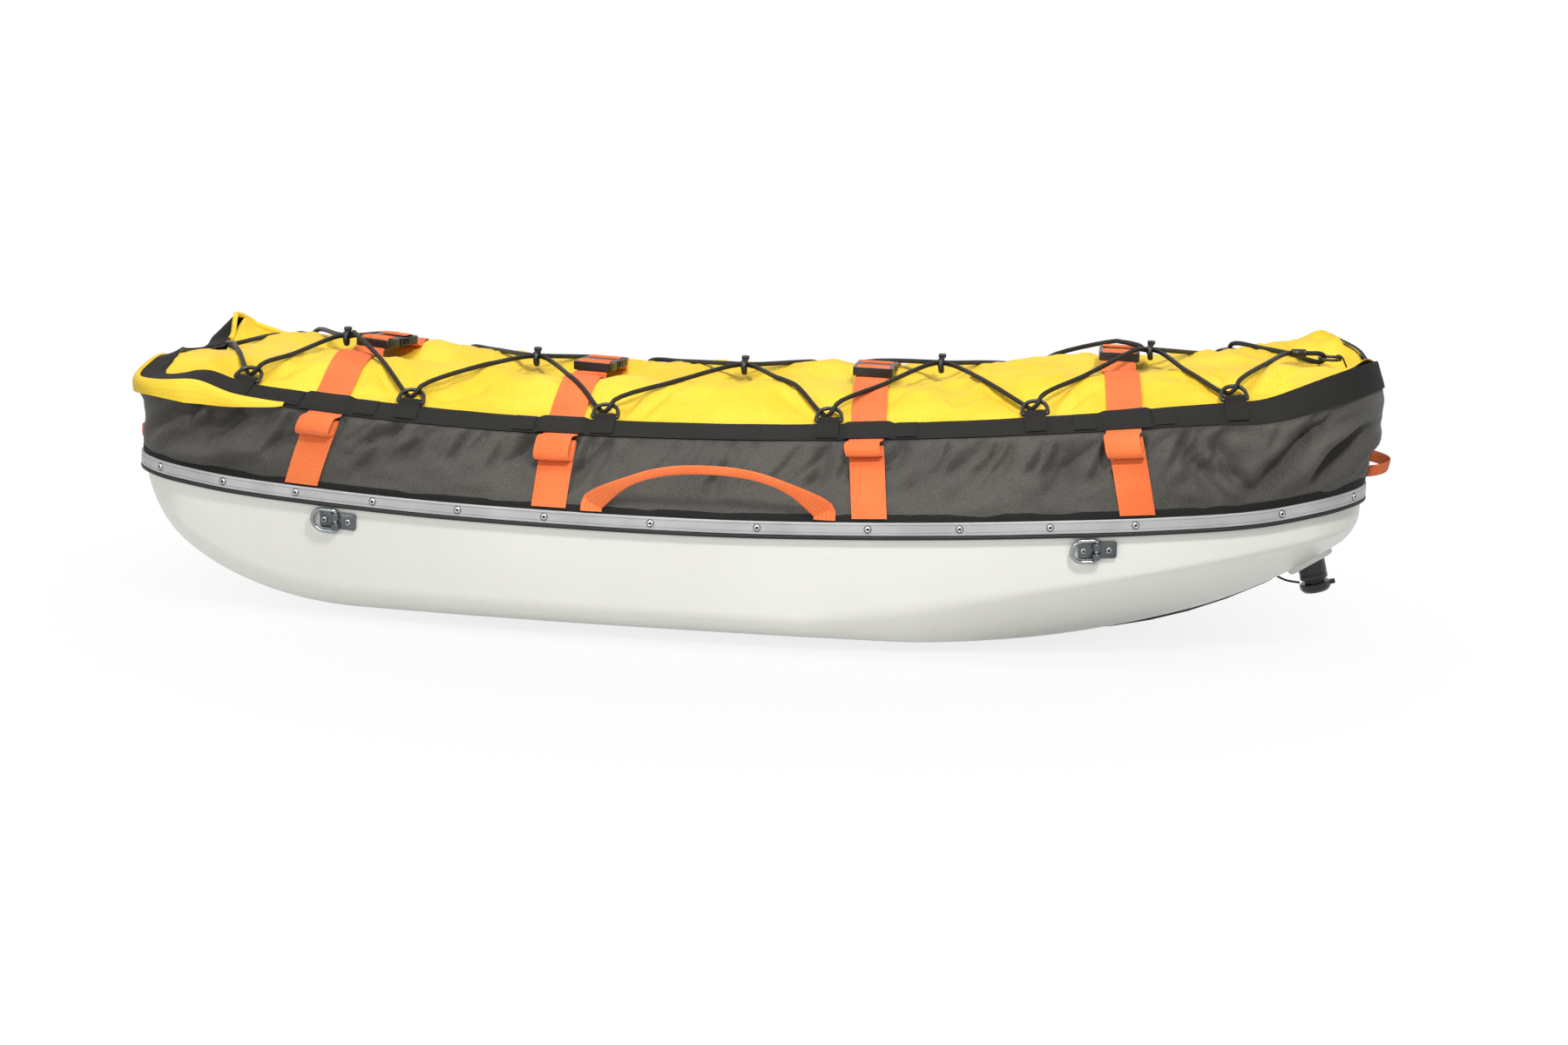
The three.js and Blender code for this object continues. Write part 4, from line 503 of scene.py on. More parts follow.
def swept(grid, looped=False, look=0):
    """A closed section carried along a path: rows follow the path and each row is one section."""
    rows, columns = grid.shape[:2]
    index = np.arange(rows * columns).reshape(rows, columns)
    centres = grid.mean(1)
    along = run_of(np.vstack([centres, centres[:1]]) if looped else centres) * MM
    ring = np.concatenate([grid[rows // 2], grid[rows // 2][:1]])
    across = run_of(ring) * MM
    if looped:
        index = np.vstack([index, index[:1]])
    index = np.hstack([index, index[:, :1]])
    laid = np.stack(np.broadcast_arrays(along[:, None], across[None]), -1)
    quads, quad_map = corners_of(index).reshape(-1, 4), corners_of(laid).reshape(-1, 4, 2)
    points, tris, tri_map = grid.reshape(-1, 3), np.zeros((0, 3), int), np.zeros((0, 3, 2))
    if not looped:
        points = np.concatenate([points, centres[:1], centres[-1:]])
        loops = [(rows * columns, index[0], 1), (rows * columns + 1, index[-1], -1)]
        tris = np.concatenate([np.stack([np.full(columns, tip), ring_index[:-1], ring_index[1:]], 1)[:, ::way]
                               for tip, ring_index, way in loops])
        tri_map = np.zeros((len(tris), 3, 2))
    return patch(points, quads, tris, quad_map, tri_map, look)


def tube(path, radius, sides=12, looped=False, look=0, side_up=(0, 0, 1)):
    """A round wire: circles square to the path. Across is side_up made square to the path's direction."""
    path = np.asarray(path, float)
    if looped:
        tangent = unit(np.roll(path, -1, 0) - np.roll(path, 1, 0))
    else:
        tangent = unit(np.gradient(path, axis=0))
    across = unit(np.cross(np.broadcast_to(np.asarray(side_up, float), path.shape), tangent))
    other = np.cross(tangent, across)
    turn = np.linspace(0, 2 * np.pi, sides, endpoint=False)
    reach = np.broadcast_to(radius, len(path))[:, None, None]
    grid = path[:, None] + reach * (across[:, None] * np.cos(turn)[None, :, None]
                                    + other[:, None] * np.sin(turn)[None, :, None])
    return swept(grid, looped, look)


def turned(profile, sides=32, at=None, look=0):
    """A lathe piece: [radius, height] pairs in order, closed by a small flat face at both ends."""
    profile = np.asarray(profile, float)
    turn = np.linspace(0, 2 * np.pi, sides, endpoint=False)
    grid = vec(profile[:, :1] * np.cos(turn), profile[:, :1] * np.sin(turn), profile[:, 1:] + 0 * turn)
    made = grid if at is None else placed(grid, at)
    return swept(made, False, look)


TAPE_COLUMNS = 9


def webbing(lefts, rights, thickness):
    """Woven tape between two edge lines: two faces apart by a thickness that thins at both selvedges."""
    share = np.linspace(-1, 1, TAPE_COLUMNS)
    middle = mix(lefts[:, None], rights[:, None], (share[None, :, None] + 1) / 2)
    tangent = np.gradient((lefts + rights) / 2, axis=0)
    normal = unit(np.cross(tangent, rights - lefts))[:, None]
    half = normal * (thickness / 2 * (1 - np.abs(share) ** 6 * 0.7)[None, :, None])
    across = np.linspace(0, np.linalg.norm(rights[0] - lefts[0]), TAPE_COLUMNS) * MM
    return cloth(middle + half, middle - half, across)


# %% Pieces
SHARP = 38


def make(name, patches, looks, body, stands_for, sharp=SHARP):
    """Joins patches into one object in metres, gives it its finishes and makes it ride on a body."""
    shift, points, quads, tris, quad_map, tri_map, quad_look, tri_look = 0, [], [], [], [], [], [], []
    for part in patches:
        points.append(part["points"])
        quads.append(part["quads"] + shift)
        tris.append(part["tris"] + shift)
        quad_map.append(part["quad_map"])
        tri_map.append(part["tri_map"])
        quad_look.append(np.full(len(part["quads"]), part["look"]))
        tri_look.append(np.full(len(part["tris"]), part["look"]))
        shift += len(part["points"])
    mesh = bpy.data.meshes.new(name)
    mesh.from_pydata((np.concatenate(points) * MM).tolist(), [],
                     np.concatenate(quads).tolist() + np.concatenate(tris).tolist())
    laid = np.concatenate([np.concatenate(quad_map).reshape(-1, 2), np.concatenate(tri_map).reshape(-1, 2)])
    mesh.uv_layers.new(name="cloth").data.foreach_set("uv", laid.astype(np.float32).ravel())
    mesh.polygons.foreach_set("material_index", np.concatenate(quad_look + tri_look).astype(np.int32))
    mesh.polygons.foreach_set("use_smooth", np.ones(len(mesh.polygons), bool))
    mesh.set_sharp_from_angle(angle=math.radians(sharp))
    mesh.update()
    for look in looks:
        mesh.materials.append(look)
    made = bpy.data.objects.new(name, mesh)
    bpy.context.collection.objects.link(made)
    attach(made, body)
    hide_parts(*stands_for)
    print(name, len(mesh.polygons), "faces")
    return made


def smoothed_copy(node, look, bevel, body):
    """A copy of a rigid CAD node with its doubles merged and its edges rounded, which stands for it."""
    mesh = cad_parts[node].data.copy()
    soft = bmesh.new()
    soft.from_mesh(mesh)
    bmesh.ops.remove_doubles(soft, verts=soft.verts, dist=1e-5)
    bmesh.ops.dissolve_limit(soft, angle_limit=math.radians(2), verts=soft.verts, edges=soft.edges)
    soft.to_mesh(mesh)
    soft.free()
    mesh.materials.clear()
    mesh.materials.append(look)
    made = bpy.data.objects.new(f"{node}_finished", mesh)
    bpy.context.collection.objects.link(made)
    rounding = made.modifiers.new("edges", "BEVEL")
    rounding.width = bevel * MM
    rounding.segments = 2
    rounding.limit_method = "ANGLE"
    rounding.angle_limit = math.radians(35)
    mesh.polygons.foreach_set("use_smooth", np.ones(len(mesh.polygons), bool))
    mesh.set_sharp_from_angle(angle=math.radians(SHARP))
    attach(made, body)
    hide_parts(node)
    return made


# %% [markdown]
# ## The lines of the hull
# A boatbuilder draws a hull from a few long curves: the sheer, the keel, the half breadth. The same
# formulas as in the part give them here at any place, so that the surfaces can be as fine as they like.

# %% Hull lines
SIDES = ((-1, "near"), (1, "far"))
FIT = 0.3
HALF = 720.0
BASE = 8.3
BEAM, STERN_BEAM, BOW_BEAM, WIDEST, CORNER = 514.0, 330.0, 240.0, 60.0, 60.0
RAIL_HEIGHT = 149.0
BOW_FACE, STERN_FACE = 63, 18
BOW_CURVE, STERN_CURVE, TOE = 420, 270, 20
CHINE_OVER_KEEL, CHINE_UNDER_SHEER, CHINE_OVER_BASE, CHINE_SLOPE = 25, 9, 8, 0.2
FLOOR_HALF, KEEL_HALF, KEEL_NARROWS_FROM, KEEL_NARROWS_OVER = 185, 49, 180, 340
BILGE_ROUND, CHINE_ROUND, SIDE_FLARE, SIDE_SWELL = 18, 8, 0.2, 3
HULL_WALL = 4
SHEER = [1.138, 1.062, 1.028, 1.007, 1, 1, 1.01, 1.039, 1.079, 1.124, 1.166, 1.221, 1.345]
SKIRT_RISE = [1.02, 1.07, 1.04, 1, 0.97, 0.98, 1, 1.025, 1.06, 1.11, 1.2, 1.34, 1.58]
SKIRT_LEAN = [0.5, 0.46, 0.56, 0.73, 0.88, 0.97, 1, 1, 0.97, 0.88, 0.64, 0.28, -0.06]
BAND_TILT = [1.25, 1.02, 0.96, 0.98, 1, 1, 1, 0.98, 0.97, 0.94, 0.88, 0.72, 0.31]
CROWN = [0.6, 0.84, 1.05, 0.98, 1.02, 0.98, 1.09, 0.96, 0.93, 1.03, 0.88, 0.64, 0]


def along_hull(shares, x):
    """The share at x: a Catmull-Rom curve through shares evenly spaced from the stern to the bow."""
    shares = np.asarray(shares, float)
    at = (np.asarray(x, float) + HALF) / (2 * HALF) * (len(shares) - 1)
    k = np.clip(np.floor(at), 0, len(shares) - 2).astype(int)
    t = np.clip(at - k, 0, 1)
    a, b, c, d = (shares[np.clip(k + step, 0, len(shares) - 1)] for step in (-1, 0, 1, 2))
    return b + 0.5 * t * (c - a + t * (2 * a - 5 * b + 4 * c - d + t * (3 * (b - c) + d - a)))


def sheer(x):
    """Height of the gunwale's top edge."""
    return BASE + RAIL_HEIGHT * along_hull(SHEER, x)


def half_beam(x):
    """Half the hull's width at the rim: full amidships, less by a power at each end, with round corners."""
    forward = x > WIDEST
    span = np.where(forward, HALF - WIDEST, HALF + WIDEST)
    end = np.where(forward, BOW_BEAM, STERN_BEAM) / 2
    power = np.where(forward, 2.8, 2.6)
    wide = end + (BEAM / 2 - end) * (1 - (np.abs(x - WIDEST) / span) ** power)
    inset = np.clip(CORNER - (HALF - np.abs(x)), 0, CORNER)
    return wide - CORNER + np.sqrt(CORNER**2 - inset**2)


def keel(x):
    """Height of the bottom: a rise to the bow by a power, a quarter round at the stern, a small toe."""
    bow_rise, stern_rise = RAIL_HEIGHT * SHEER[-1] - BOW_FACE, RAIL_HEIGHT * SHEER[0] - STERN_FACE
    bow = np.clip(x - HALF + BOW_CURVE, 0, None) / BOW_CURVE
    toe = np.clip((x - HALF + TOE) / TOE, 0, 1)
    stern = np.clip((-x - HALF + STERN_CURVE) / STERN_CURVE, 0, 1)
    return (BASE + bow_rise * bow**2.4 + TOE * (1 - np.sqrt(1 - toe**2))
            + stern_rise * (1 - np.sqrt(1 - stern**2)))


def chine_height(x):
    """Height of the lower edge of the side: just over the bottom, then rising towards the bow."""
    line = BASE + CHINE_OVER_BASE + CHINE_SLOPE * np.clip(x, 0, None)
    return np.minimum(np.maximum(keel(x) + CHINE_OVER_KEEL, line), sheer(x) - CHINE_UNDER_SHEER)


def narrowing(x):
    """0 where the bottom has its full width, rising to 1 where it has narrowed to the keel."""
    return ease((x - KEEL_NARROWS_FROM) / KEEL_NARROWS_OVER)


def floor_half(x):
    """Half the flat bottom's width, which narrows to the keel under the bow."""
    return mix(FLOOR_HALF * half_beam(x) / (BEAM / 2), KEEL_HALF, narrowing(x))


def rounded_corner(before, corner, after, reach, steps):
    """A corner replaced by a quadratic curve that starts and ends a reach away from it."""
    start = corner + unit(before - corner) * reach[:, None]
    end = corner + unit(after - corner) * reach[:, None]
    t = np.linspace(0, 1, steps)[None, :, None]
    return mix(mix(start[:, None], corner[:, None], t), mix(corner[:, None], end[:, None], t), t)


def hull_half(x):
    """Half sections from keel to rim: floor, bilge, lower panel, chine and a side that swells a little."""
    top = sheer(x) - FIT
    rim = np.stack([half_beam(x), top], -1)
    chine = np.stack([rim[:, 0] - SIDE_FLARE * (top - chine_height(x)), chine_height(x)], -1)
    edge = np.stack([np.minimum(floor_half(x), chine[:, 0] - 6), keel(x)], -1)
    centre = np.stack([0 * x, keel(x)], -1)
    panel = np.linalg.norm(chine - edge, axis=-1)
    side = np.linalg.norm(rim - chine, axis=-1)
    edge_reach = np.minimum(np.minimum(BILGE_ROUND, panel * 0.45), edge[:, 0] * 0.8)
    side_round = mix(BILGE_ROUND, CHINE_ROUND, narrowing(x))
    side_reach = np.minimum(np.minimum(side_round, panel * 0.45), side * 0.45)
    bilge = rounded_corner(centre, edge, chine, edge_reach, 9)
    knuckle = rounded_corner(edge, chine, rim, side_reach, 9)
    t = np.linspace(0, 1, 8)[None, :, None]
    floor = mix(centre[:, None], bilge[:, :1], t[:, :-1])
    lower = mix(bilge[:, -1:], knuckle[:, :1], t[:, 1:-1])
    u = np.linspace(0, 1, 20)[None, 1:, None]
    upper = mix(knuckle[:, -1:], rim[:, None], u)
    upper[..., 0] += (SIDE_SWELL * np.clip(side / RAIL_HEIGHT, 0, 1))[:, None] * (4 * u * (1 - u))[..., 0]
    return np.concatenate([floor, bilge, lower, knuckle, upper], 1)


def rim_line(count):
    """Rim from above, from the middle of the stern round the near side to the bow's, evenly spaced."""
    x = -HALF * np.cos(np.linspace(0, np.pi, 6001))
    line = np.stack([x, -half_beam(x)], -1)
    line = np.vstack([[[-HALF, 0]], line, [[HALF, 0]]])
    return spaced(line, count)


RIM = rim_line(3001)
RIM_RUN = run_of(RIM)
RIM_OUT = unit(np.gradient(RIM, axis=0))[:, ::-1] * [1, -1]
RIM_END = RIM_RUN[-1]
STERN_FLAT, BOW_FLAT = STERN_BEAM / 2 - CORNER, BOW_BEAM / 2 - CORNER
print("half rim", round(RIM_END), "mm")

# %% [markdown]
# ## Places on the skirt's wall and on the cover
# The skirt stands on the rim and leans in over the load; a black band closes its top. A place on it is a
# run round the rim, a share up the wall (0 rail, 1 foot of the band, 2 its top edge) and a lift off it.

# %% Wall and cover places
SKIRT_HEIGHT, SKIRT_INWARD, SKIRT_BOW = 95, 78, 9
BAND_WIDTH, BAND_ANGLE = 30, 64
SKIRT_OUT = 1.8
BAND_IN, BAND_OUT = 2.1, 4.1
STRAP_REST = 3.1
KEEPER_IN = 5.3


def rim_at(run):
    """Rim place and outward direction at a run round the near half."""
    return tuple(np.interp(run, RIM_RUN, values) for values in (*RIM.T, *RIM_OUT.T))


def wall_profile(x, share):
    """Outward and height above the sheer: a quadratic curve to the band's foot, then the straight band."""
    rise, lean = SKIRT_HEIGHT * along_hull(SKIRT_RISE, x), SKIRT_INWARD * along_hull(SKIRT_LEAN, x)
    tilt = np.radians(BAND_ANGLE * along_hull(BAND_TILT, x))
    top = (-lean, rise)
    foot = (top[0] + BAND_WIDTH * np.sin(tilt), top[1] - BAND_WIDTH * np.cos(tilt))
    t, band = np.clip(share, 0, 1), np.clip(share - 1, 0, None)
    out = 2 * t * (1 - t) * (foot[0] / 2 + SKIRT_BOW) + t**2 * foot[0] + band * (top[0] - foot[0])
    up = 2 * t * (1 - t) * foot[1] * 0.55 + t**2 * foot[1] + band * (top[1] - foot[1])
    return out, up + np.clip(share, None, 0) * 12


def bell(value, centre, spread):
    """exp(-((value - centre) / spread)^2)."""
    return np.exp(-(((value - centre) / spread) ** 2))


def pulled(run, share, side):
    """Outward and upward shift of the cloth at the corners, which are bulged, bunched up or pulled down."""
    high, top, bow = ease((share - 0.45) / 0.55), np.clip(share - 1, 0, 1), RIM_END - run
    out = 20 * top * bell(run, 0, 70)
    up = 11 * bell(side * run, -45, 50) * top - 22 * bell(side * bow, 15, 75)
    up = up + 10 * bell(side * run, -72, 38) * (1 - top)
    if side < 0:
        out = out + 18 * high * bell(run, 140, 60)
        up = up - 6 * bell(run, 135, 45) + 8 * bell(run, 228, 32)
        up = up - 5 * bell(bow, 240, 50) - 1 * bell(bow, 150, 80) - 5 * (1 - top) * bell(bow, 150, 70)
    else:
        out = out - 14 * high * bell(run, 105, 60) - 18 * top * bell(bow, 110, 60)
        ear = np.where(run < 142, bell(run, 142, 34), bell(run, 142, 100))
        up = up + 34 * ear * mix(0.35, 1, top) + 9 * bell(bow, 152, 30) * top
    return out, up * high


def wall_on(run, share, lift, side=-1, at_rest=False):
    """A place on the wall, lifted along the section's normal, found across a small step of the share."""
    x, y, out_x, out_y = rim_at(run)
    out, up = wall_profile(x, share)
    before, after = wall_profile(x, share - 0.02), wall_profile(x, share + 0.02)
    step = (after[0] - before[0], after[1] - before[1])
    size = np.hypot(*step)
    out, up = out + lift * step[1] / size, up - lift * step[0] / size
    if not at_rest:
        more = pulled(run, share, side)
        out, up = out + more[0], up + more[1]
    return vec(x + out * out_x, -side * (y + out * out_y), sheer(x) + up)


def wall_at(x, share, lift, side=-1):
    """The same place found from its x: the run is corrected until the place lies over x."""
    x, share, lift = np.broadcast_arrays(np.asarray(x, float), share, lift)
    run = np.interp(x, RIM[:, 0], RIM_RUN)
    for _ in range(12):
        run = np.clip(run + (x - wall_on(run, share, lift, side)[..., 0]) * 0.8, 0, RIM_END)
    return wall_on(run, share, lift, side)


EDGE_RUN = np.linspace(STERN_FLAT, RIM_END - BOW_FLAT, 2001)
EDGE = wall_on(EDGE_RUN, 2.0, -FIT, -1, True)
FIRST_X, LAST_X = EDGE[0, 0], EDGE[-1, 0]


def edge_at(x):
    """Half width and height of the cover's edge at x."""
    return np.interp(x, EDGE[:, 0], -EDGE[:, 1]), np.interp(x, EDGE[:, 0], EDGE[:, 2])


CREST, TROUGH = 62, 34


def crown_at(x):
    """How far the cover stands above its edge at x."""
    return ease(np.minimum(x - FIRST_X, LAST_X - x) / 70) * CREST * along_hull(CROWN, x)


def bow_dip(x, y):
    """The hollow in front of the far bow corner, less the swell of the far crest behind it."""
    hollow = 30 * bell(x, LAST_X, 75) * ease((y + 84) / 40) * ease((104 - y) / 32)
    return hollow - 10 * bell(x, 625, 50) * bell(y, 125, 45)


def cover_height(x, y):
    """Height of the cover: a full curve from edge to edge with a trough along the middle."""
    width, low = edge_at(x)
    rise = crown_at(x)
    share = np.clip(np.abs(y) / width, 0, 1)
    return low + rise * (1 - share**1.9) - TROUGH * rise / CREST * bell(y, 0, 70) - bow_dip(x, y)


print("cover edge from", round(FIRST_X), "to", round(LAST_X))

# %% [markdown]
# ## The hull
# The real hull is one moulding of reinforced plastic. A skin is drawn from its half sections, closed by a
# transom at each end, and then given its wall by Solidify, with the towing pad moulded under the bow.

# %% Hull shell
HULL_STATIONS, TRANSOM_ROWS = 260, 14


def hull_skin():
    """Half sections at stations crowded towards the ends, mirrored, with flat transoms of straight rows."""
    x = -HALF * np.cos(np.linspace(0, np.pi, HULL_STATIONS))
    half = hull_half(x)
    near = vec(x[:, None], -half[..., 0], half[..., 1])[:, ::-1]
    far = vec(x[:, None], half[..., 0], half[..., 1])[:, 1:]
    skin = np.concatenate([near, far], 1)
    middle = half.shape[1] - 1
    ends = []
    for row in (0, -1):
        left, right = skin[row, :middle + 1], skin[row, middle:][::-1]
        ends.append(mix(left[:, None], right[:, None], np.linspace(0, 1, TRANSOM_ROWS)[None, :, None]))
    return skin, ends


def open_patch(grid):
    """An open grid of faces, for a skin that gets its thickness later."""
    rows, columns = grid.shape[:2]
    index = np.arange(rows * columns).reshape(rows, columns)
    down, over = run_of(grid[:, columns // 2]), run_of(grid[rows // 2])
    laid = np.stack(np.broadcast_arrays(down[:, None], over[None]), -1) * MM
    return {"points": grid.reshape(-1, 3), "quads": corners_of(index).reshape(-1, 4),
            "tris": np.zeros((0, 3), int), "quad_map": corners_of(laid).reshape(-1, 4, 2),
            "tri_map": np.zeros((0, 3, 2)), "look": 0}


def make_hull():
    """The skin and its transoms merged, its faces turned outwards, then given its wall inwards."""
    skin, ends = hull_skin()
    hull = make("hull", [open_patch(skin), *(open_patch(end) for end in ends)], [GELCOAT], "sled",
                ["hull_shell"], sharp=30)
    merged = bmesh.new()
    merged.from_mesh(hull.data)
    bmesh.ops.remove_doubles(merged, verts=merged.verts, dist=2e-5)
    bmesh.ops.dissolve_degenerate(merged, dist=1e-6, edges=merged.edges)
    lowest = min(merged.faces, key=lambda face: face.calc_center_median().z)
    bmesh.ops.recalc_face_normals(merged, faces=merged.faces)
    if lowest.normal.z > 0:
        bmesh.ops.reverse_faces(merged, faces=merged.faces)
    merged.to_mesh(hull.data)
    merged.free()
    wall = hull.modifiers.new("wall", "SOLIDIFY")
    wall.thickness = HULL_WALL * MM
    wall.offset = -1
    wall.use_even_offset = False
    return hull


hull = make_hull()

# %% [markdown]
# ## Towing pad
# A block moulded under the bow takes the hitch. It could be cut from a cube; a plate drawn from its own
# outline gets round corners and soft edges in one go, and its frame carries the hitch later.

# %% Towing pad
PAD_X = 0.925 * HALF
PAD_LENGTH, PAD_WIDTH, PAD_DEEP = 58, 62, 8
QUARTER_STEPS = 6


def pad_frame():
    """A frame on the hull's bottom under the towing pad, sloped as the keel is there."""
    half = PAD_LENGTH / 2
    slope = math.atan2(float(keel(PAD_X + half) - keel(PAD_X - half)), PAD_LENGTH)
    low = min(float(keel(PAD_X + t * half) - (keel(PAD_X) + math.tan(slope) * t * half))
              for t in (-1, -0.5, 0, 0.5, 1))
    origin = [PAD_X, 0, float(keel(PAD_X)) + low - FIT]
    c, s = math.cos(slope), math.sin(slope)
    return frame_from([c, 0, s], [0, 1, 0], [-s, 0, c], origin)


def plate_patch(length, width, low, high, corner, at, soft):
    """A flat plate with round corners: its outline shrinks a little at both faces, so the edges are soft."""
    turn = np.linspace(0, np.pi / 2, QUARTER_STEPS)
    quarter = np.stack([np.cos(turn), np.sin(turn)], -1) * corner
    corners = [np.array([sx * (length / 2 - corner), sy * (width / 2 - corner)]) for sx, sy in
               ((1, 1), (-1, 1), (-1, -1), (1, -1))]
    turns = [np.array([[c, -s], [s, c]]) for c, s in ((1, 0), (0, 1), (-1, 0), (0, -1))]
    outline = np.concatenate([quarter @ turn_by.T + middle for middle, turn_by in zip(corners, turns)])
    inward = unit(outline - outline.mean(0)) * soft
    rows = [(1.0, low), (0.3, low + soft * 0.3), (0.0, low + soft),
            (0.0, high - soft), (0.3, high - soft * 0.3), (1.0, high)]
    grid = np.stack([vec(outline[:, 0] - inward[:, 0] * share, outline[:, 1] - inward[:, 1] * share, z)
                     for share, z in rows])
    return swept(placed(grid, at))


PAD = pad_frame()
pad = plate_patch(PAD_LENGTH, PAD_WIDTH, -PAD_DEEP, 2, 9, PAD, soft=3)
make("hitch_pad", [pad], [GELCOAT], "sled", ["hull_shell"])

# %% [markdown]
# ## Gunwale: rail, rivets and rubber
# An aluminium strip clamps the skirt to the hull all round, held by blind rivets, over a rubber bead.
# Each is a section carried round the rim; the strip's section has two shallow grooves that catch light.

# %% Gunwale
RIM_STATIONS = 1400


def round_the_rim(profile, side, gap=FIT):
    """A closed section of [outward, height above the sheer] pairs carried round one half of the rim."""
    run = np.linspace(0, RIM_END, RIM_STATIONS)
    x, y, out_x, out_y = rim_at(run)
    out, up = np.asarray(profile, float).T
    split = np.zeros(RIM_STATIONS)
    split[[0, -1]] = gap
    across = y[:, None] - split[:, None] + out * out_y[:, None]
    grid = vec(x[:, None] + out * out_x[:, None], -side * across, sheer(x)[:, None] + up)
    return swept(grid)


RAIL_SECTION = [
    [2.1, -15], [4.6, -15], [5.0, -14.8], [5.1, -14.4], [5.1, -12.5], [4.5, -12.1], [4.5, -11.7],
    [5.1, -11.3], [5.15, -7.5], [5.1, -3.7], [4.5, -3.3], [4.5, -2.9], [5.1, -2.5], [5.1, -0.6],
    [5.0, -0.2], [4.6, 0], [2.1, 0]]
SEAL_SECTION = [
    [0.3, -20.3], [3.6, -20.3], [5.0, -19.6], [5.6, -18.2], [5.6, -17.2], [5.0, -15.8], [3.8, -15.3],
    [0.3, -15.3]]
# Rivets along the rail, as shares of half the hull's length
RIVETS = [
    -0.949, -0.838, -0.712, -0.582, -0.441, -0.3, -0.129, 0.041, 0.216, 0.36, 0.501, 0.634, 0.864, 0.978]
RIVET_OUT, RIVET_HEIGHT = 5.1, -7.5


def gunwale_frame(x, side, outward, height):
    """A frame on the gunwale's face: x forward on the near side, y up, z outwards."""
    run = np.interp(x, RIM[:, 0], RIM_RUN)
    px, py, out_x, out_y = rim_at(run)
    out = np.array([out_x, -side * out_y, 0.0])
    forward = unit(np.cross([0, 0, 1.0], out))
    origin = [px + outward * out_x, -side * (py + outward * out_y), float(sheer(px)) + height]
    return frame_from(forward, [0, 0, 1.0], out, origin)


def rivet(at):
    """A blind rivet's head: a dome, its broken pin in painted shade, and a ring of painted shadow at its
    foot.
    """
    dome = [[0.01, -0.9], [3.9, -0.9], [3.9, 0.2], [3.7, 0.8], [3.2, 1.4], [2.5, 1.8], [2.0, 1.9], [1.7, 1.7],
            [1.6, 0.3], [0.01, 0.25]]
    pin = [[0.01, 0.2], [1.55, 0.2], [1.55, 0.6], [1.0, 0.9], [0.01, 0.9]]
    # A dark disc a little wider than the head: painted shadow round the rivet's foot.
    rim = [[0.01, -0.6], [4.5, -0.6], [4.5, 0.1], [4.3, 0.2], [0.01, 0.2]]
    return [turned(dome, 20, at), turned(pin, 12, at, 1), turned(rim, 20, at, 1)]


for side, word in SIDES:
    make(f"gunwale_rail_{word}", [round_the_rim(RAIL_SECTION, side)], [RAIL_METAL], "sled", [f"rail_{word}"],
         sharp=50)
    heads = [part for share in RIVETS
             for part in rivet(gunwale_frame(share * HALF, side, RIVET_OUT, RIVET_HEIGHT))]
    make(f"rivets_{word}", heads, [RIVET_METAL, HOLE_SHADE], "sled", [f"rail_{word}"])
beads = [round_the_rim(SEAL_SECTION, side, gap=0.0) for side in (-1, 1)]
make("rubber_bead", beads, [RUBBER], "sled", ["rim_seal"])

# %% [markdown]
# ## Folds in cloth
# Cloth that is pulled at a few points folds along lines between them. A fold here is a line on the cloth
# with a width and a depth, and finer unrest is a sum of many small waves in seeded random directions.

# %% Fold helpers
WAVES = 14


def unrest(u, v, size, seed):
    """Waves of about one size in random directions, summed and scaled to about -1 to 1."""
    dice = np.random.default_rng(seed)
    total = 0
    for angle, phase, scale in dice.uniform([0, 0, 0.7], [np.pi, 2 * np.pi, 1.5], (WAVES, 3)):
        along = u * math.cos(angle) + v * math.sin(angle)
        total = total + np.sin(along * 2 * np.pi / (size * scale) + phase)
    return total / math.sqrt(WAVES) / 1.4


def fold(u, v, start, end, width, depth, bend=0.0):
    """A valley or ridge along a bent line, deepest in its middle and gone at both ends."""
    (u0, v0), (u1, v1) = start, end
    du, dv = u1 - u0, v1 - v0
    length = math.hypot(du, dv)
    t = ((u - u0) * du + (v - v0) * dv) / length**2
    away = ((u - u0) * dv - (v - v0) * du) / length + bend * 4 * t * (1 - t)
    taper = ease(t / 0.3) * ease((1 - t) / 0.3)
    soft = np.exp(-((away / width) ** 2)) - 0.35 * np.exp(-(((away - width * 1.6) / (width * 1.3)) ** 2))
    return depth * soft * taper


# %% [markdown]
# ## The grey skirt
# The skirt's canvas is clamped under the rail and sewn to the band. It is pulled tight amidships and
# falls in slanting folds where it turns the corners at the stern and the bow.

# %% Skirt
# Start and end as (x, height) in millimetres, width, depth and bend of each placed fold
SKIRT_FOLDS = [
    ((-715, 20), (-620, 84), 9, -5.0, 6), ((-700, 8), (-560, 70), 12, -4.0, 8),
    ((-660, 4), (-540, 40), 10, 2.6, 4), ((-640, 66), (-560, 74), 8, -3.0, 3),
    ((-705, 60), (-660, 88), 9, 3.2, 3), ((-560, 30), (-470, 72), 14, -2.2, 5),
    ((-420, 10), (-330, 66), 18, -1.8, 5), ((-300, 60), (-240, 20), 16, -1.6, 4),
    ((-150, 16), (-60, 70), 22, -1.6, 5), ((40, 70), (120, 20), 22, -1.8, 4),
    ((240, 12), (330, 74), 18, -2.4, 6), ((330, 66), (400, 26), 14, -2.2, 4),
    ((500, 96), (566, 10), 11, -5.0, -6), ((540, 100), (600, 8), 9, -4.4, -8),
    ((560, 12), (640, 92), 12, 3.0, 6), ((590, 10), (668, 104), 11, -5.6, 8),
    ((628, 10), (704, 96), 11, 4.6, 9), ((655, 10), (716, 84), 9, -6.0, 8),
    ((690, 10), (724, 70), 8, 4.0, 4), ((520, 60), (580, 30), 9, -3.0, 3),
    ((610, 112), (700, 120), 10, -3.0, 4),
]
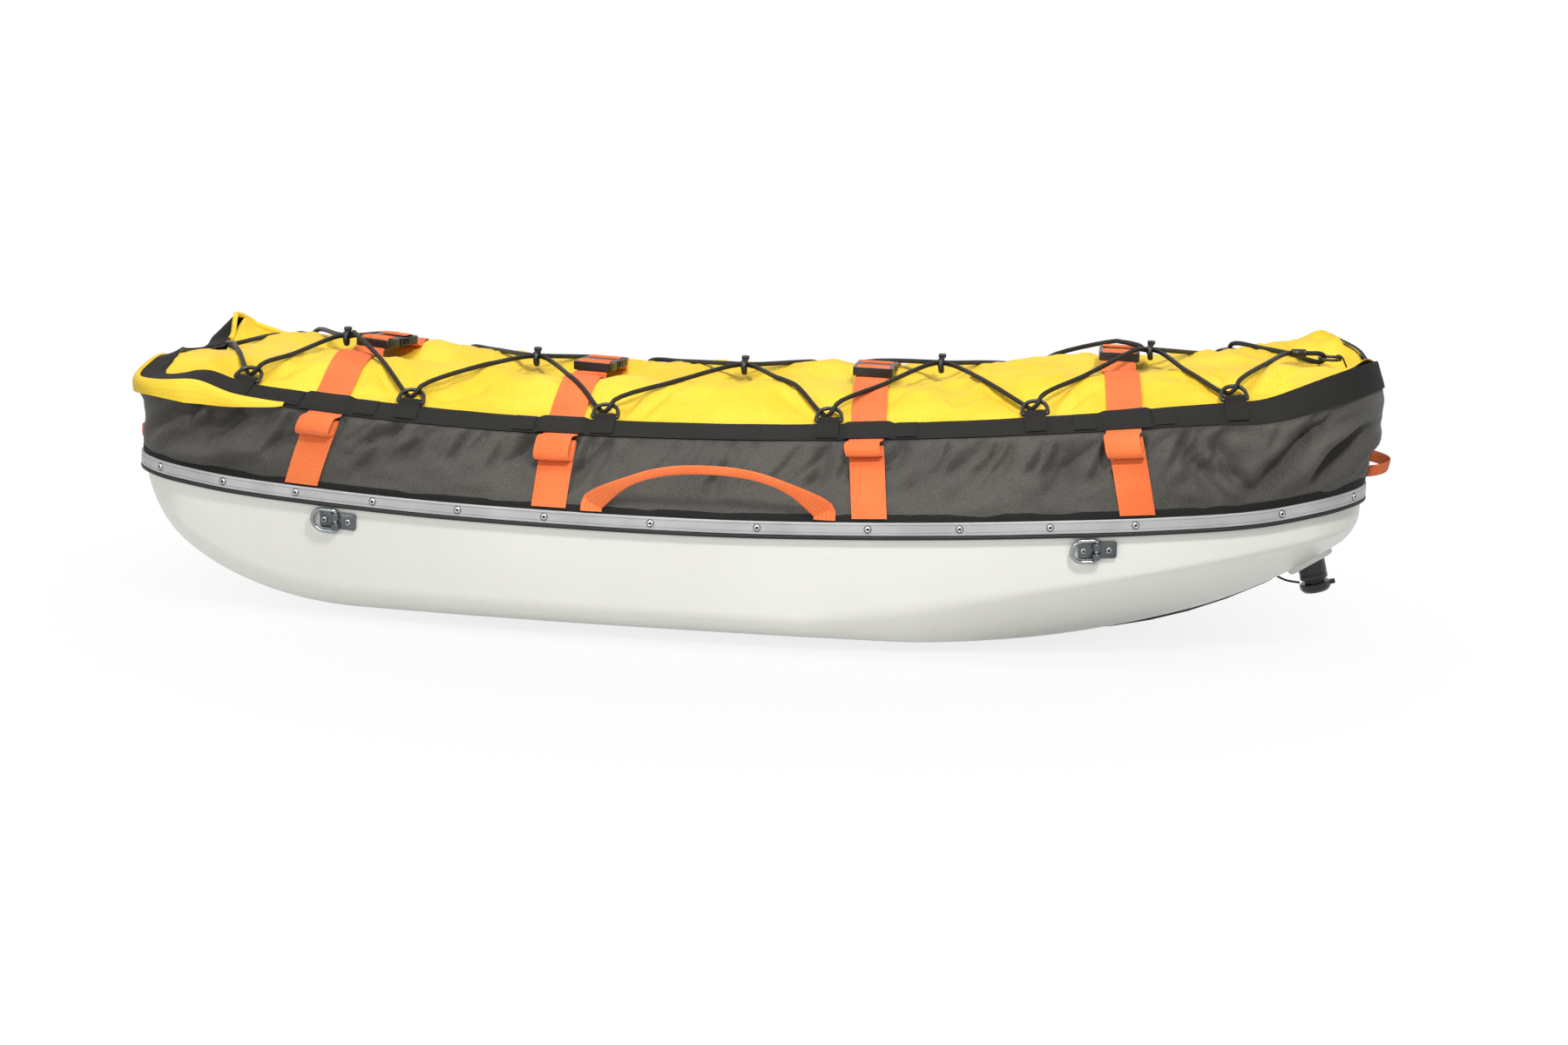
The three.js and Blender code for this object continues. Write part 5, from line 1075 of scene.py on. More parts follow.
# Each strap at the near rail, near keeper, buckle, far keeper and far rail, as shares of half the length
STRAP_PLACES = [(-0.7056, -0.6694, -0.6319, -0.6167, -0.5806), (-0.2944, -0.2861, -0.2667, -0.278, -0.2833),
                (0.2181, 0.2028, 0.1944, 0.2028, 0.2181), (0.6389, 0.6083, 0.5958, 0.5972, 0.5694)]
SKIRT_ROWS, SKIRT_COLUMNS = 620, 34
CALM_REACH = 34.0
FOLD_GAIN, FAR_SHIFT = 2.4, 14


def keeper_at(row, side):
    """x of a strap's keeper on one side."""
    return HALF * (row[1] if side < 0 else row[3])


def strap_calm(x, side):
    """0 under a strap and 1 away from it, so that folds leave the straps room."""
    calm = 1.0
    for row in STRAP_PLACES:
        middle = HALF * (row[0] + row[1] if side < 0 else row[3] + row[4]) / 2
        calm = calm * (1 - np.exp(-(((x - middle) / CALM_REACH) ** 4)))
    return calm


def skirt_relief(x, height, share, side):
    """Folds and unrest of the canvas, still at the rail and the band."""
    flip = 1 if side < 0 else -1
    total = 3.0 * unrest(x, height * 1.2, 85, 11 + side) + 1.3 * unrest(x, height, 36, 23 + side)
    dice = np.random.default_rng(40 + side)
    # Drawn for each slanting fold: x of its top, lean, drop, width and depth
    broad = dice.uniform([-640, -70, 30, 5, -9.0], [690, -12, 70, 11, -2.5], (44, 5))
    fine = dice.uniform([-640, -62, 26, 3, -4.6], [690, -18, 56, 5, -1.6], (70, 5))
    for start, lean, drop, width, depth in np.vstack([broad, fine]):
        top = 80 + 34 * ease((start - 380) / 340)
        total = total + fold(x, height, (start, top + 10), (start + lean, top - drop), width, depth, 3)
    at = x + (0 if side < 0 else FAR_SHIFT)
    for start, end, width, depth, bend in SKIRT_FOLDS:
        total = total + FOLD_GAIN * fold(at, height, start, end, width, depth, bend * flip)
    held = ease(share / 0.22) * ease((1.02 - share) / 0.1)
    free = np.where(total > 0, strap_calm(x, side), 1)
    covered = ease((-500 - x) / 60) * ease((share - 0.5) / 0.15) if side < 0 else 0
    return (total - np.maximum(total, 0) * covered) * held * free


def make_skirt(side, word):
    """The wall's grid with the folds added to its lift; the back follows the front below it."""
    run = np.linspace(0, RIM_END, SKIRT_ROWS)[:, None]
    share = np.concatenate([np.linspace(-1, 0, 4)[:-1], np.linspace(0, 1, SKIRT_COLUMNS), [1.4, 2.0]])[None]
    x = rim_at(run)[0]
    height = wall_profile(x, share)[1]
    lift = skirt_relief(x, height, share, side)
    front, back = (wall_on(run, share, out + lift, side) for out in (SKIRT_OUT, FIT))
    split = np.zeros((SKIRT_ROWS, 1))
    split[[0, -1]] = FIT
    for layer in (front, back):
        layer[..., 1] += side * split
    return make(f"skirt_cloth_{word}", [cloth(front, back)], [GREY], "sled", [f"skirt_{word}"])


skirts = [make_skirt(side, word) for side, word in SIDES]

# %% [markdown]
# ## Binding
# A black tape covers the canvas where it goes under the rail. It follows the same wall as the skirt, a
# little further out, so that the two never part.

# %% Binding over the rail
BINDING_ROWS, BINDING_COLUMNS, BINDING_SWELL = 900, 7, 0.75


def make_binding(side, word):
    """A black tape folded over the skirt's lower edge: a strip a few millimetres high above the rail."""
    run = np.linspace(0, RIM_END, BINDING_ROWS)[:, None]
    share = np.linspace(-0.05, 0.085, BINDING_COLUMNS)[None]
    swell = BINDING_SWELL * np.sin(np.linspace(0, np.pi, BINDING_COLUMNS))[None] ** 0.5
    front = wall_on(run, share, SKIRT_OUT + 0.15 + swell, side)
    back = wall_on(run, share, SKIRT_OUT + 0.05, side)
    return make(f"binding_{word}", [cloth(front, back)], [BINDING], "sled", [f"skirt_{word}"])


for side, word in SIDES:
    make_binding(side, word)

# %% [markdown]
# ## The yellow cover
# Ripstop nylon lies over the load. It is pressed down by the straps, pulled towards the D-rings by the
# cord, and bunched up in soft ears at the corners.

# %% Cover
# D-rings along the band and links along the middle, as shares of half the length
RINGS = [-0.817, -0.54, -0.222, 0.139, 0.468, 0.782]
LINKS = [-0.6986, -0.375, -0.025, 0.3028, 0.6458]
COVER_ROWS, COVER_COLUMNS, COVER_T = 430, 104, 1.2
BUCKLE_ROOM, STRAP_SLANT = 34, 150
GROOVE_DEEP, GROOVE_WIDE = 5.0, 30
RING_CREASES = [(-46, -5.0), (-14, -3.4), (22, -4.4), (56, -4.8)]


def strap_middle(row, y):
    """x of a strap's middle line at y: the buckle's near the middle, then slanting to the keeper's."""
    edge = np.where(y < 0, row[1], row[3]) * HALF
    return mix(edge, row[2] * HALF, np.clip(1 - (np.abs(y) - BUCKLE_ROOM) / STRAP_SLANT, 0, 1))


def strap_press(x, y):
    """How far the straps press the cloth down: a soft groove under each, fading at the cover's edge."""
    press = 0.0
    for row in STRAP_PLACES:
        press = press - GROOVE_DEEP * np.exp(-(((x - strap_middle(row, y)) / GROOVE_WIDE) ** 4))
    return press * np.clip((edge_at(x)[0] - np.abs(y)) / 30, 0, 1)


def cover_top(x, y):
    """Height of the cloth with the straps' grooves, for the webbing that lies on it."""
    return cover_height(x, y) + strap_press(x, y)


def cover_folds(x, y):
    """Folds of the cover, nearly all below its taut form: long ones across it, creases at the rings."""
    width = edge_at(x)[0]
    under = 0.0
    for row in STRAP_PLACES:
        under = np.maximum(under, bell(x, strap_middle(row, y), GROOVE_WIDE))
    inside = np.clip((width - np.abs(y)) / 18, 0, 1)
    total = 4.4 * (unrest(x, y, 130, 5) - 0.5) + 3.0 * np.minimum(unrest(x, y * 0.35, 50, 8), 0.2)
    total = total - 3.6 * np.abs(unrest(x, y, 70, 21)) + 0.8 * unrest(x, y, 22, 33)
    for k, share in enumerate(RINGS):
        for side in (-1, 1):
            ring_x, ring_y = share * HALF, side * float(edge_at(share * HALF)[0])
            for lean, depth in RING_CREASES:
                start = (ring_x + lean * 0.25, ring_y - side * 6)
                end = (ring_x + lean * 1.6, ring_y - side * (72 + 9 * (k % 3)))
                total = total + fold(x, y, start, end, 7, depth, side * 5)
    return (total - np.maximum(total - 2, 0)) * inside * (1 - 0.85 * under)


def make_cover():
    """Rows are cross sections from edge to edge; the edges' shift is carried inwards by a power."""
    run = np.linspace(STERN_FLAT, RIM_END - BOW_FLAT, COVER_ROWS)
    rest = wall_on(run, 2.0, -FIT, -1, True)
    share = np.sin(np.linspace(-np.pi / 2, np.pi / 2, COVER_COLUMNS))
    x = rest[:, :1] + 0 * share
    y = -rest[:, 1:2] * share
    z = cover_top(x, y) + cover_folds(x, y)
    z = z + 7 * bell(x, 706, 16) * bell(y, -96, 22) + 8 * bell(x, FIRST_X + 14, 18) * bell(y, -30, 70)
    z = z + 2.4 * bell(x, LAST_X, 70) * ease((y - 70) / 50)
    front = vec(x, y, z)
    beside = 0
    for side in (-1, 1):
        shift = wall_on(run, 2.0, -FIT, side) - rest * [1, -side, 1]
        beside = beside + shift[:, None] * (np.clip(side * share, 0, 1) ** 5)[None, :, None]
    for way, end_x in ((-1, FIRST_X), (1, LAST_X)):
        along = np.abs(y) if way < 0 else RIM_END - np.abs(y)
        near, far = pulled(along, 2.0, -1), pulled(along, 2.0, 1)
        out, up = (np.where(y < 0, a, b) for a, b in zip(near, far))
        across = vec(way * out, 0, up + bow_dip(x, y))
        beside = mix(beside, across, bell(x, end_x, 20)[..., None])
    front = front + beside
    return make("cover_cloth", [cloth(front, front - [0, 0, COVER_T])], [YELLOW], "sled", ["cover"],
                sharp=80)


cover = make_cover()

# %% [markdown]
# ## The black band, its keepers and patches
# A webbing band closes the skirt's top. It rises over each strap as a keeper, with a stitched patch on
# either side, and a tab folded round each D-ring is sewn on it.

# %% Band
def keeper_lift(x, side):
    """Extra lift of the band over the straps: flat over the webbing, falling to nothing in 9 mm."""
    rise = 0.0
    for row in STRAP_PLACES:
        rise = np.maximum(rise, ease((31 - np.abs(x - keeper_at(row, side))) / 9))
    return rise * (KEEPER_IN - BAND_IN)


def band_strip(run, side):
    """The band on the wall: a strip of webbing that rises over the straps, thinner at its selvedges."""
    share = np.linspace(1.0, 2.0, 11)[None]
    x = wall_on(run, 2.0, BAND_OUT)[..., 0]
    raised = keeper_lift(x, side)
    soft = 0.35 * np.abs(np.linspace(-1, 1, share.shape[1])) ** 8
    ripple = 0.25 * unrest(run, share * 30, 40, 3 + side)
    front = wall_on(run, share, BAND_OUT + raised + ripple - soft, side)
    back = wall_on(run, share, BAND_IN + raised + ripple + soft * 0.3, side)
    return cloth(front, back)


BAND_ROWS = 1100
PATCH_IN, PATCH_OUT, PATCH_WIDTH, PATCH_ASIDE = 4.15, 5.9, 24, 45


def patch_on_band(x, side):
    """A square patch of webbing sewn to the band."""
    across = np.linspace(-0.5, 0.5, 9)[:, None] * PATCH_WIDTH
    share = np.linspace(1.05, 1.95, 9)[None]
    run = np.interp(x, RIM[:, 0], RIM_RUN) + across
    run = run + (x + across - wall_on(run, 1.5, BAND_OUT)[..., 0])
    even = np.abs(np.linspace(-1, 1, 9))
    edge = np.maximum(even[:, None], even[None]) ** 8
    front = wall_on(run, share, PATCH_OUT - 0.5 * edge, side)
    return cloth(front, wall_on(run, share, PATCH_IN + 0 * across, side))


def make_band(side, word):
    """The band, a patch on either side of each keeper, and the facing behind the band round the bow."""
    strip = band_strip(np.linspace(0, RIM_END, BAND_ROWS)[:, None], side)
    keepers = [keeper_at(row, side) for row in STRAP_PLACES]
    patches = [patch_on_band(x + way * PATCH_ASIDE, side) for x in keepers for way in (-1, 1)]
    tail = np.linspace(RIM_END - 170, RIM_END, 90)[:, None]
    inside = np.linspace(1.0, 1.99, 7)[None]
    facing = cloth(wall_on(tail, inside, -1.4, side), wall_on(tail, inside, -2.6, side))
    return make(f"band_webbing_{word}", [strip, facing, *patches], [BLACK_WEB], "sled", [f"band_{word}"],
                sharp=60)


for side, word in SIDES:
    make_band(side, word)

# %% [markdown]
# ## D-rings
# Rings of painted wire stand at the band's top edge, each in a folded tab. A ring could be half a torus;
# a wire drawn along its own line can lean over the cover just as far as the cord needs.

# %% D-rings and their tabs
def ring_frame(x, side):
    """A frame at the band's top edge: x along it, y up the cover, z off the fabric."""
    top, foot = wall_at(x, 2.0, SKIRT_OUT, side), wall_at(x, 1.0, SKIRT_OUT, side)
    forward = unit(wall_at(x + 12, 2.0, SKIRT_OUT, side) - wall_at(x - 12, 2.0, SKIRT_OUT, side))
    up = top - foot
    up = unit(up - forward * (up @ forward))
    if side > 0:
        forward = -forward
    return frame_from(forward, up, np.cross(forward, up), top)


CORD_R = 2.8
RING_TIP, RING_FOOT, RING_HALF, RING_WIRE = 26, 4, 14.5, 2.4
TAB_LIFT, TAB_WIDTH, TAB_T = BAND_OUT - SKIRT_OUT, 25, 1.6
# The tab seen along the band, as [up the cover, off the band]: up, round the ring's leg and back under
TAB_PATH = [
    [-27, 0.6], [-25, 1.5], [-12, 1.7], [-2, 1.9], [1.5, 3.6], [4.5, 4.6], [7.4, 3.2], [8.2, 0.6],
    [6.5, -1.6], [2, -1.9]]


def over_cover(at, lift):
    """Height of a ring's tip over the cover for a lift in the ring's frame."""
    tip = placed([0, RING_TIP, lift], at)
    return float(tip[2] - cover_height(tip[0], tip[1]))


def tip_lift(at):
    """Lift of the ring's tip at which the cord passes under it, found by repeated correction."""
    clear = 1.5 * CORD_R + RING_WIRE
    lift = clear
    for _ in range(6):
        lift += clear - over_cover(at, lift)
    return lift


def ring_parts(x, side):
    """A D-ring of painted wire and the tab of webbing folded round its straight leg."""
    at = ring_frame(x, side)
    turn = np.linspace(0, np.pi, 25)
    rise = np.sin(turn) ** 0.62
    up = RING_FOOT + (RING_TIP - RING_FOOT) * rise
    arc = vec(RING_HALF * np.cos(turn), up, mix(TAB_LIFT + 1.2, tip_lift(at), rise))
    leg = np.linspace(arc[-1], arc[0], 8)[1:-1]
    wire = spaced(through(np.vstack([arc, leg]), 2, True), 72, True)
    ring = tube(placed(wire, at), RING_WIRE, 10, True, 1, at[:3, 2])
    line = through(np.array(TAB_PATH), 5)
    lefts, rights = (placed(vec(end * TAB_WIDTH / 2, line[:, 0], line[:, 1] + TAB_LIFT), at)
                     for end in (-1, 1))
    return [webbing(lefts, rights, TAB_T), ring]


for side, word in SIDES:
    parts = [part for share in RINGS for part in ring_parts(share * HALF, side)]
    make(f"ring_tabs_{word}", parts, [BLACK_WEB, PAINTED], "sled", [f"band_{word}"])

# %% [markdown]
# ## Cuff at the stern
# At the near corner of the stern the cover's hem is turned out over the band. At the far corner it is
# rolled, and shows as a thick edge. Both are laid out on the wall's own places, as cloth hung on it is.

# %% Stern cuff
CUFF_END_X, CUFF_T = -535, 1.3
HEM_FROM, HEM_TO, HEM_R = 96, 320, 3.4


def make_cuff():
    """A sheet hung from the band's foot, even in depth round the corner and then falling to a point."""
    run_end = float(np.interp(CUFF_END_X, RIM[:, 0], RIM_RUN))
    run = np.linspace(0.4, run_end, 260)[:, None]
    uneven = 1 + 0.25 * bell(run, 235, 40) - 0.12 * bell(run, 170, 30)
    deep = 0.2 * np.clip((run_end - run) / 120, 0.02, 1) ** 0.8 * uneven
    down = np.linspace(0, 1, 18)[None]
    share = 1.05 - (deep + 0.05) * down
    wave = 1.3 * unrest(run, down * 30, 55, 9) * down
    lift = 5.4 + 2.6 * np.sin(np.clip(down * 3, 0, np.pi / 2)) + wave
    front, back = wall_on(run, share, lift), wall_on(run, share, lift - CUFF_T)
    hem = np.linspace(HEM_FROM, HEM_TO, 90)
    roll = tube(wall_on(hem, 2.0, 0.6, 1) + [0, 0, 1.4], HEM_R, 10)
    return make("stern_cuff", [cloth(front, back), roll], [YELLOW], "sled", ["stern_flap"],
                sharp=60)


cuff = make_cuff()

# %% [markdown]
# ## Load straps
# Orange webbing comes up from the rail, is folded once below the band, passes through its keeper and runs
# over the cover to a buckle, where it turns round the bar.

# %% Strap paths
BUCKLE_TURN = np.radians([-25, -12, -3, 0])
BUCKLE_ASIDE = [8, 0, 0, 16]
STRAP_FOLDS = [30, 37, 24, 32]
STRAP_HALF, STRAP_T = 20, 1.6
BUCKLE_L, BUCKLE_W, BUCKLE_T = 64.0, 48.0, 10.0
OVER_STEPS = np.array([0.94, 0.86, 0.77, 0.68, 0.58, 0.48, 0.37, 0.26, 0.2])


def strap_frame(index):
    """A buckle's frame: turned on the cover, resting on the highest of the places under it."""
    x, y = HALF * STRAP_PLACES[index][2], BUCKLE_ASIDE[index]
    c, s = math.cos(BUCKLE_TURN[index]), math.sin(BUCKLE_TURN[index])
    a, b = np.meshgrid([-0.5, 0, 0.5], [-1, -0.6, 0, 0.6, 1])
    a, b = a * BUCKLE_W, b * (BUCKLE_L / 2 + 3.2)
    heights = cover_height(x + c * a - s * b, y + s * a + c * b)
    return frame_from([c, s, 0], [-s, c, 0], [0, 0, 1], [x, y, float(heights.max()) + STRAP_T + 1.2])


def strap_rise(index):
    """Shares up the wall, lifts off it and a skew: along the canvas, folded once, through the keeper."""
    rest = STRAP_REST + STRAP_T / 2
    inner, outer, low = rest + 5.5, rest + 14, 1 - STRAP_FOLDS[index] / 92
    wall = np.array([
        [0.03, rest], [0.15, rest], [0.3, rest], [0.5, rest], [0.7, rest], [0.82, rest], [0.89, rest + 0.7],
        [0.9, (rest + inner) / 2], [0.86, inner], [mix(0.86, low, 0.5), inner], [low + 0.05, inner],
        [low, (inner + outer) / 2], [low + 0.05, outer], [mix(low, 1, 0.45), outer + 0.4], [0.9, outer - 2.6],
        [0.955, (rest + outer) / 2 - 1.5], [1.0, rest + 0.4], [1.25, rest], [1.5, rest], [1.75, rest],
        [2.0, rest]])
    share, lift = wall.T
    return share, lift, -5.0 * bell(lift, outer, 6)


def round_bar():
    """[along, height] pairs from under the buckle's end, up through its slot and on over its body."""
    bottom, high = -0.6 - STRAP_T / 2, BUCKLE_T + 0.4 + STRAP_T / 2
    reach = BUCKLE_L / 2
    slot = reach - 6.5
    return [[reach + 1.5, bottom + 0.3], [reach - 2, bottom], [slot + 0.6, bottom + 0.6],
            [slot, BUCKLE_T / 2], [slot - 0.8, high - 1.4], [slot - 3.4, high], [slot - 9, high],
            [slot - 15, high - 0.2]]


def cover_run(keeper_x, end, side):
    """Middle line of the webbing over the cover, from the keeper to where it dips under the buckle."""
    width = abs(float(wall_at(keeper_x, 2.0, FIT, side)[1]))
    y = side * OVER_STEPS * width
    y = y[side * (y - end[1]) > 0]
    return mix(keeper_x, end[0], (width - side * y) / (width - side * end[1])), y


def strap_edges(index, side):
    """Both edges of one strap: up the wall, folded, through the keeper, over the cover, round the bar."""
    row, at = STRAP_PLACES[index], strap_frame(index)
    rail_x, keeper_x = HALF * (row[0] if side < 0 else row[4]), keeper_at(row, side)
    share, lift, skew = strap_rise(index)
    middle = mix(rail_x, keeper_x, np.clip(share, 0, 1))
    x, y = cover_run(keeper_x, placed([0, side * (BUCKLE_L / 2 + 4.8), 0], at), side)
    edges = []
    for aside in (-STRAP_HALF, STRAP_HALF):
        up_wall = wall_at(middle + aside + skew, share, lift, side)
        ground, crown, other = (cover_top(x + shift, y) + STRAP_T / 2 + 1.0 for shift in (aside, 0, -aside))
        over = vec(x + aside, y, ground + np.maximum(0, crown - (ground + other) / 2))
        bar = placed([[aside, side * along, z] for along, z in round_bar()], at)
        edges.append(through(np.concatenate([up_wall, over, bar]), 5))
    return edges


def make_strap(index, side, word):
    """One half of a strap as a single length of webbing."""
    lefts, rights = strap_edges(index, side)
    return make(f"strap_webbing_{index + 1}_{word}", [webbing(lefts, rights, STRAP_T)], [ORANGE], "sled",
                [f"strap_{index + 1}_{word}"], sharp=60)


for index in range(4):
    for side, word in SIDES:
        make_strap(index, side, word)

# %% [markdown]
# ## Buckles
# Each strap closes with a side-release buckle. The CAD solids have the right form already, so copies of
# both halves are enough, with doubles merged and edges rounded as a mould leaves them.

# %% Buckles
for number in range(1, 5):
    for half in ("socket", "plug"):
        smoothed_copy(f"buckle_{half}_{number}", PLASTIC, 0.9, "sled")

# %% [markdown]
# ## Shock cord
# One black cord is laced from ring to ring through the links along the middle, and hooked at both ends.
# It is held all the way. The route's points follow the part's, and a smooth curve is drawn through them.

# %% Cord route
LINK_LIFTS = [18, 18, 16, 20, 22]


def link_places():
    """Middles of the links, a little over the cover."""
    x = np.array(LINKS) * HALF
    return vec(x, 0, cover_height(x, 0 * x) + LINK_LIFTS)


def cord_at_ring(x, side):
    """The cord at a D-ring, from the bow: over the ring's arc, down inside it and out under it."""
    at, r, top = ring_frame(x, side), CORD_R, RING_TIP
    tip = tip_lift(at)
    over, under = over_cover(at, tip) + 2.2 + r, 0.5 * r
    rows = [[r * 3.0, top + r * 0.3, over], [r * 1.2, top - r * 1.9, (over + under) * 0.5],
            [-r * 1.2, top - r * 2.2, under], [-r * 3.2, top - r * 0.4, under],
            [-r * 4.8, top + r * 1.4, under]]
    places = placed([[-side * ahead, up, tip] for ahead, up, _ in rows], at)
    places[:, 2] = cover_height(places[:, 0], places[:, 1]) + [lift for _, _, lift in rows]
    return places


def strap_top(x, y, margin):
    """How high straps and buckles reach at a place over the cover, each widened by a margin."""
    ground = float(cover_top(x, y) + cover_folds(x, y))
    tops = [ground]
    for index, row in enumerate(STRAP_PLACES):
        at = strap_frame(index)
        local = at[:3, :3].T @ (np.array([x, y, 0]) - at[:3, 3])
        reach = BUCKLE_L / 2 + margin
        if abs(local[0]) < BUCKLE_W / 2 + margin and abs(local[1]) < reach + 10:
            tops.append(at[2, 3] + BUCKLE_T + 0.6 + STRAP_T)
            continue
        side = 1 if y >= 0 else -1
        end = placed([0, side * reach, 0], at)
        keeper_x = keeper_at(row, side)
        edge = abs(float(wall_at(keeper_x, 2.0, FIT, side)[1]))
        middle = mix(keeper_x, end[0], np.clip((edge - side * y) / (edge - side * end[1]), 0, 1))
        if abs(x - middle) <= STRAP_HALF + margin:
            rising = at[2, 3] if abs(local[1]) < reach + 30 else ground
            tops.append(max(ground, rising) + STRAP_T + 1.2)
    return max(tops)


def cord_leg(start, end):
    """The taut run between two places: straight wherever nothing under it holds it up."""
    samples = [start]
    outer = 1 if abs(start[1]) > abs(end[1]) else -1
    for share in np.arange(1, 20) / 20:
        back = share if outer > 0 else 1 - share
        bowed = share - outer * 0.5 * back**2 * (1 - back)
        x, y = mix(start[0], end[0], share), mix(start[1], end[1], bowed)
        sunk = 3.4 * ease((y - 25) / 60)
        samples.append(np.array([x, y, strap_top(x, y, CORD_R + 0.6) + CORD_R + 0.3 - sunk]))
    samples.append(end)
    taut = []
    for spot in samples:
        while len(taut) > 1:
            a, b = taut[-2:]
            run_b, run_spot = (np.hypot(*(p - a)[:2]) for p in (b, spot))
            if b[2] > mix(a[2], spot[2], run_b / run_spot):
                break
            taut.pop()
        taut.append(spot)
    return taut[1:-1]


def laced(side, forward):
    """One side's lacing: ring, link, ring and so on, each joined to the next by a taut leg."""
    stops = []
    links = link_places()
    for k, share in enumerate(RINGS):
        ring = cord_at_ring(share * HALF, side)
        stops.append(ring[::-1] if forward else ring)
        if k < len(links):
            pair = links[k] + [[6.3, side * 3.2, 0], [-6.3, side * 3.2, 0]]
            stops.append(pair[::-1] if forward else pair)
    if not forward:
        stops = stops[::-1]
    line = list(stops[0])
    for stop in stops[1:]:
        line += [*cord_leg(line[-1], stop[0]), *stop]
    return line


def laid_places(edge, length, lift):
    """Webbing laid from an end's edge towards the middle: its height is the highest across its width."""
    x = edge[0] + length * np.array([0.02, 0.2, 0.4, 0.6, 0.8, 1])
    rise = np.max([cover_height(x, y + 0 * x) for y in (-10, 0, 10)], axis=0)
    return vec(x, 0, rise + lift)


HOOK_IN, HOOK_IN_CAD, HOOK_LIFT = 36, 60, 3.6
EYE_IN, EYE_WIRE = 60, 1.8


def hook_turn():
    """Places that carry the cord round the back of the stern's hook."""
    laid, r = laid_places(EDGE[0], HOOK_IN, HOOK_LIFT), CORD_R
    x, z = laid[-1][0] - FIT, laid[:, 2].max() + HOOK_LIFT
    return [np.array(p) for p in ([x + r * 3, -18.2, z + r * 0.6], [x, -7, z], [x, 7, z],
                                  [x + r * 3, 18.2, z + r * 0.6])]


def eye_turn(eye):
    """Places that carry the cord from behind the bow's ring over it, round it and back below."""
    r, reach = CORD_R, EYE_WIRE + CORD_R + 1.2
    turn = np.array([1, 0.5, 0, -0.5, -1]) * np.pi / 2
    bend = vec(eye[0] + reach * np.cos(turn), -2 * r * np.sin(turn), eye[2] + reach * np.sin(turn))
    return [np.array([eye[0] - 36, -14, eye[2] + reach]), np.array([eye[0] - 14.4, -8, eye[2] + reach]),
            *bend, np.array([eye[0] - 18, 10, eye[2] - reach + r])]


def cord_route(around, to_ring):
    """The closed route: near side to the stern, round the hook, far side to the bow, round the ring."""
    near, far = laced(-1, False), laced(1, True)
    return np.array([
        *near, *cord_leg(near[-1], around[0]), *around, *cord_leg(around[3], far[0]), *far,
        *cord_leg(far[-1], to_ring[-1]), *to_ring[::-1], *cord_leg(to_ring[0], near[0])])


EYE_HEIGHT = laid_places(EDGE[-1], -EYE_IN, 2 * CORD_R + EYE_WIRE + 2.4)[2:, 2].max()
BOW_EYE = np.array([EDGE[-1][0] - EYE_IN, 0, EYE_HEIGHT])
TO_RING = eye_turn(BOW_EYE)
ROUTE = cord_route(hook_turn(), TO_RING)

# %% [markdown]
# ## Cord, ferrule and links
# The cord is a tube along its route, and the ferrule that joins its ends is turned from a profile. A link
# is two loops under a lid; each loop is swept as a wire and then broadened to a moulded strap.

# %% Cord, ferrule and links
# The ferrule's turned outline, as [radius, along] pairs
FERRULE = [
    [0.01, -9], [3.9, -9], [4.9, -8], [5, -6.6], [4.6, -6], [5, -5.4], [5, 5.4], [4.6, 6], [5, 6.6],
    [4.9, 8], [3.9, 9], [0.01, 9]]


def make_cord():
    """The smooth line through the route, evenly spaced, as a round tube, with its ferrule."""
    line = through(ROUTE, 6, True)
    length = run_of(np.vstack([line, line[:1]]))[-1]
    print("cord", round(length), "mm in its loop")
    fine = spaced(line, int(length / 2.6), True)
    sheath = tube(fine, CORD_R, 14, True)
    middle, aim = mix(TO_RING[0], TO_RING[1], 0.5), unit(TO_RING[1] - TO_RING[0])
    side_way = unit(np.cross([0, 0, 1], aim))
    at = frame_from(side_way, np.cross(aim, side_way), aim, middle)
    sleeve = turned(FERRULE, 28, at, 1)
    return make("shock_cord_line", [sheath, sleeve], [CORD, PLASTIC], "sled", ["shock_cord"],
                sharp=60)


LINK_WIRE, LINK_BROAD = 1.9, 1.7


def make_link(index, spot):
    """A moulded clip of two loops, one round each cord, turned a little against each other."""
    turn = np.linspace(0, 2 * np.pi, 36, endpoint=False)
    parts = []
    for y, z, tall, tip in ((3.4, 2.4, 6.8, 0.1), (-3.4, -3.0, 7.4, -0.06)):
        across, up = 5.0 * np.cos(turn), tall * np.sin(turn)
        loop = vec(tip * up, y + across, z + up) + spot
        ring = tube(loop, LINK_WIRE, 12, True, 0, (1, 0, 0))
        middle = loop.mean(0)[0]
        ring["points"][:, 0] = middle + (ring["points"][:, 0] - middle) * LINK_BROAD
        parts.append(ring)
    parts.append(plate_patch(9, 9, 6.4, 10.6, 2.0, moved(spot + [1, 1.6, 0]), soft=0.8))
    return make(f"link_clip_{index + 1}", parts, [PLASTIC], "sled", [f"cord_link_{index + 1}"])


make_cord()
for index, spot in enumerate(link_places()):
    make_link(index, spot)

# %% [markdown]
# ## Hook and ring at the ends of the cord
# The stern end hangs on a flat hook on a webbing strip, the bow end on a wire ring held by a tab. The
# hook is a copy of its CAD solid, moved out to where the photograph shows it; the ring is a swept wire.

# %% Stern hook and bow ring
hook_copy = smoothed_copy("stern_hook", PLASTIC, 0.7, "sled")
laid, laid_cad = (laid_places(EDGE[0], reach, HOOK_LIFT)[:, 2].max() for reach in (HOOK_IN, HOOK_IN_CAD))
hook_copy.data.transform(Matrix.Translation(((HOOK_IN - HOOK_IN_CAD) * MM, 0, (laid - laid_cad) * MM)))


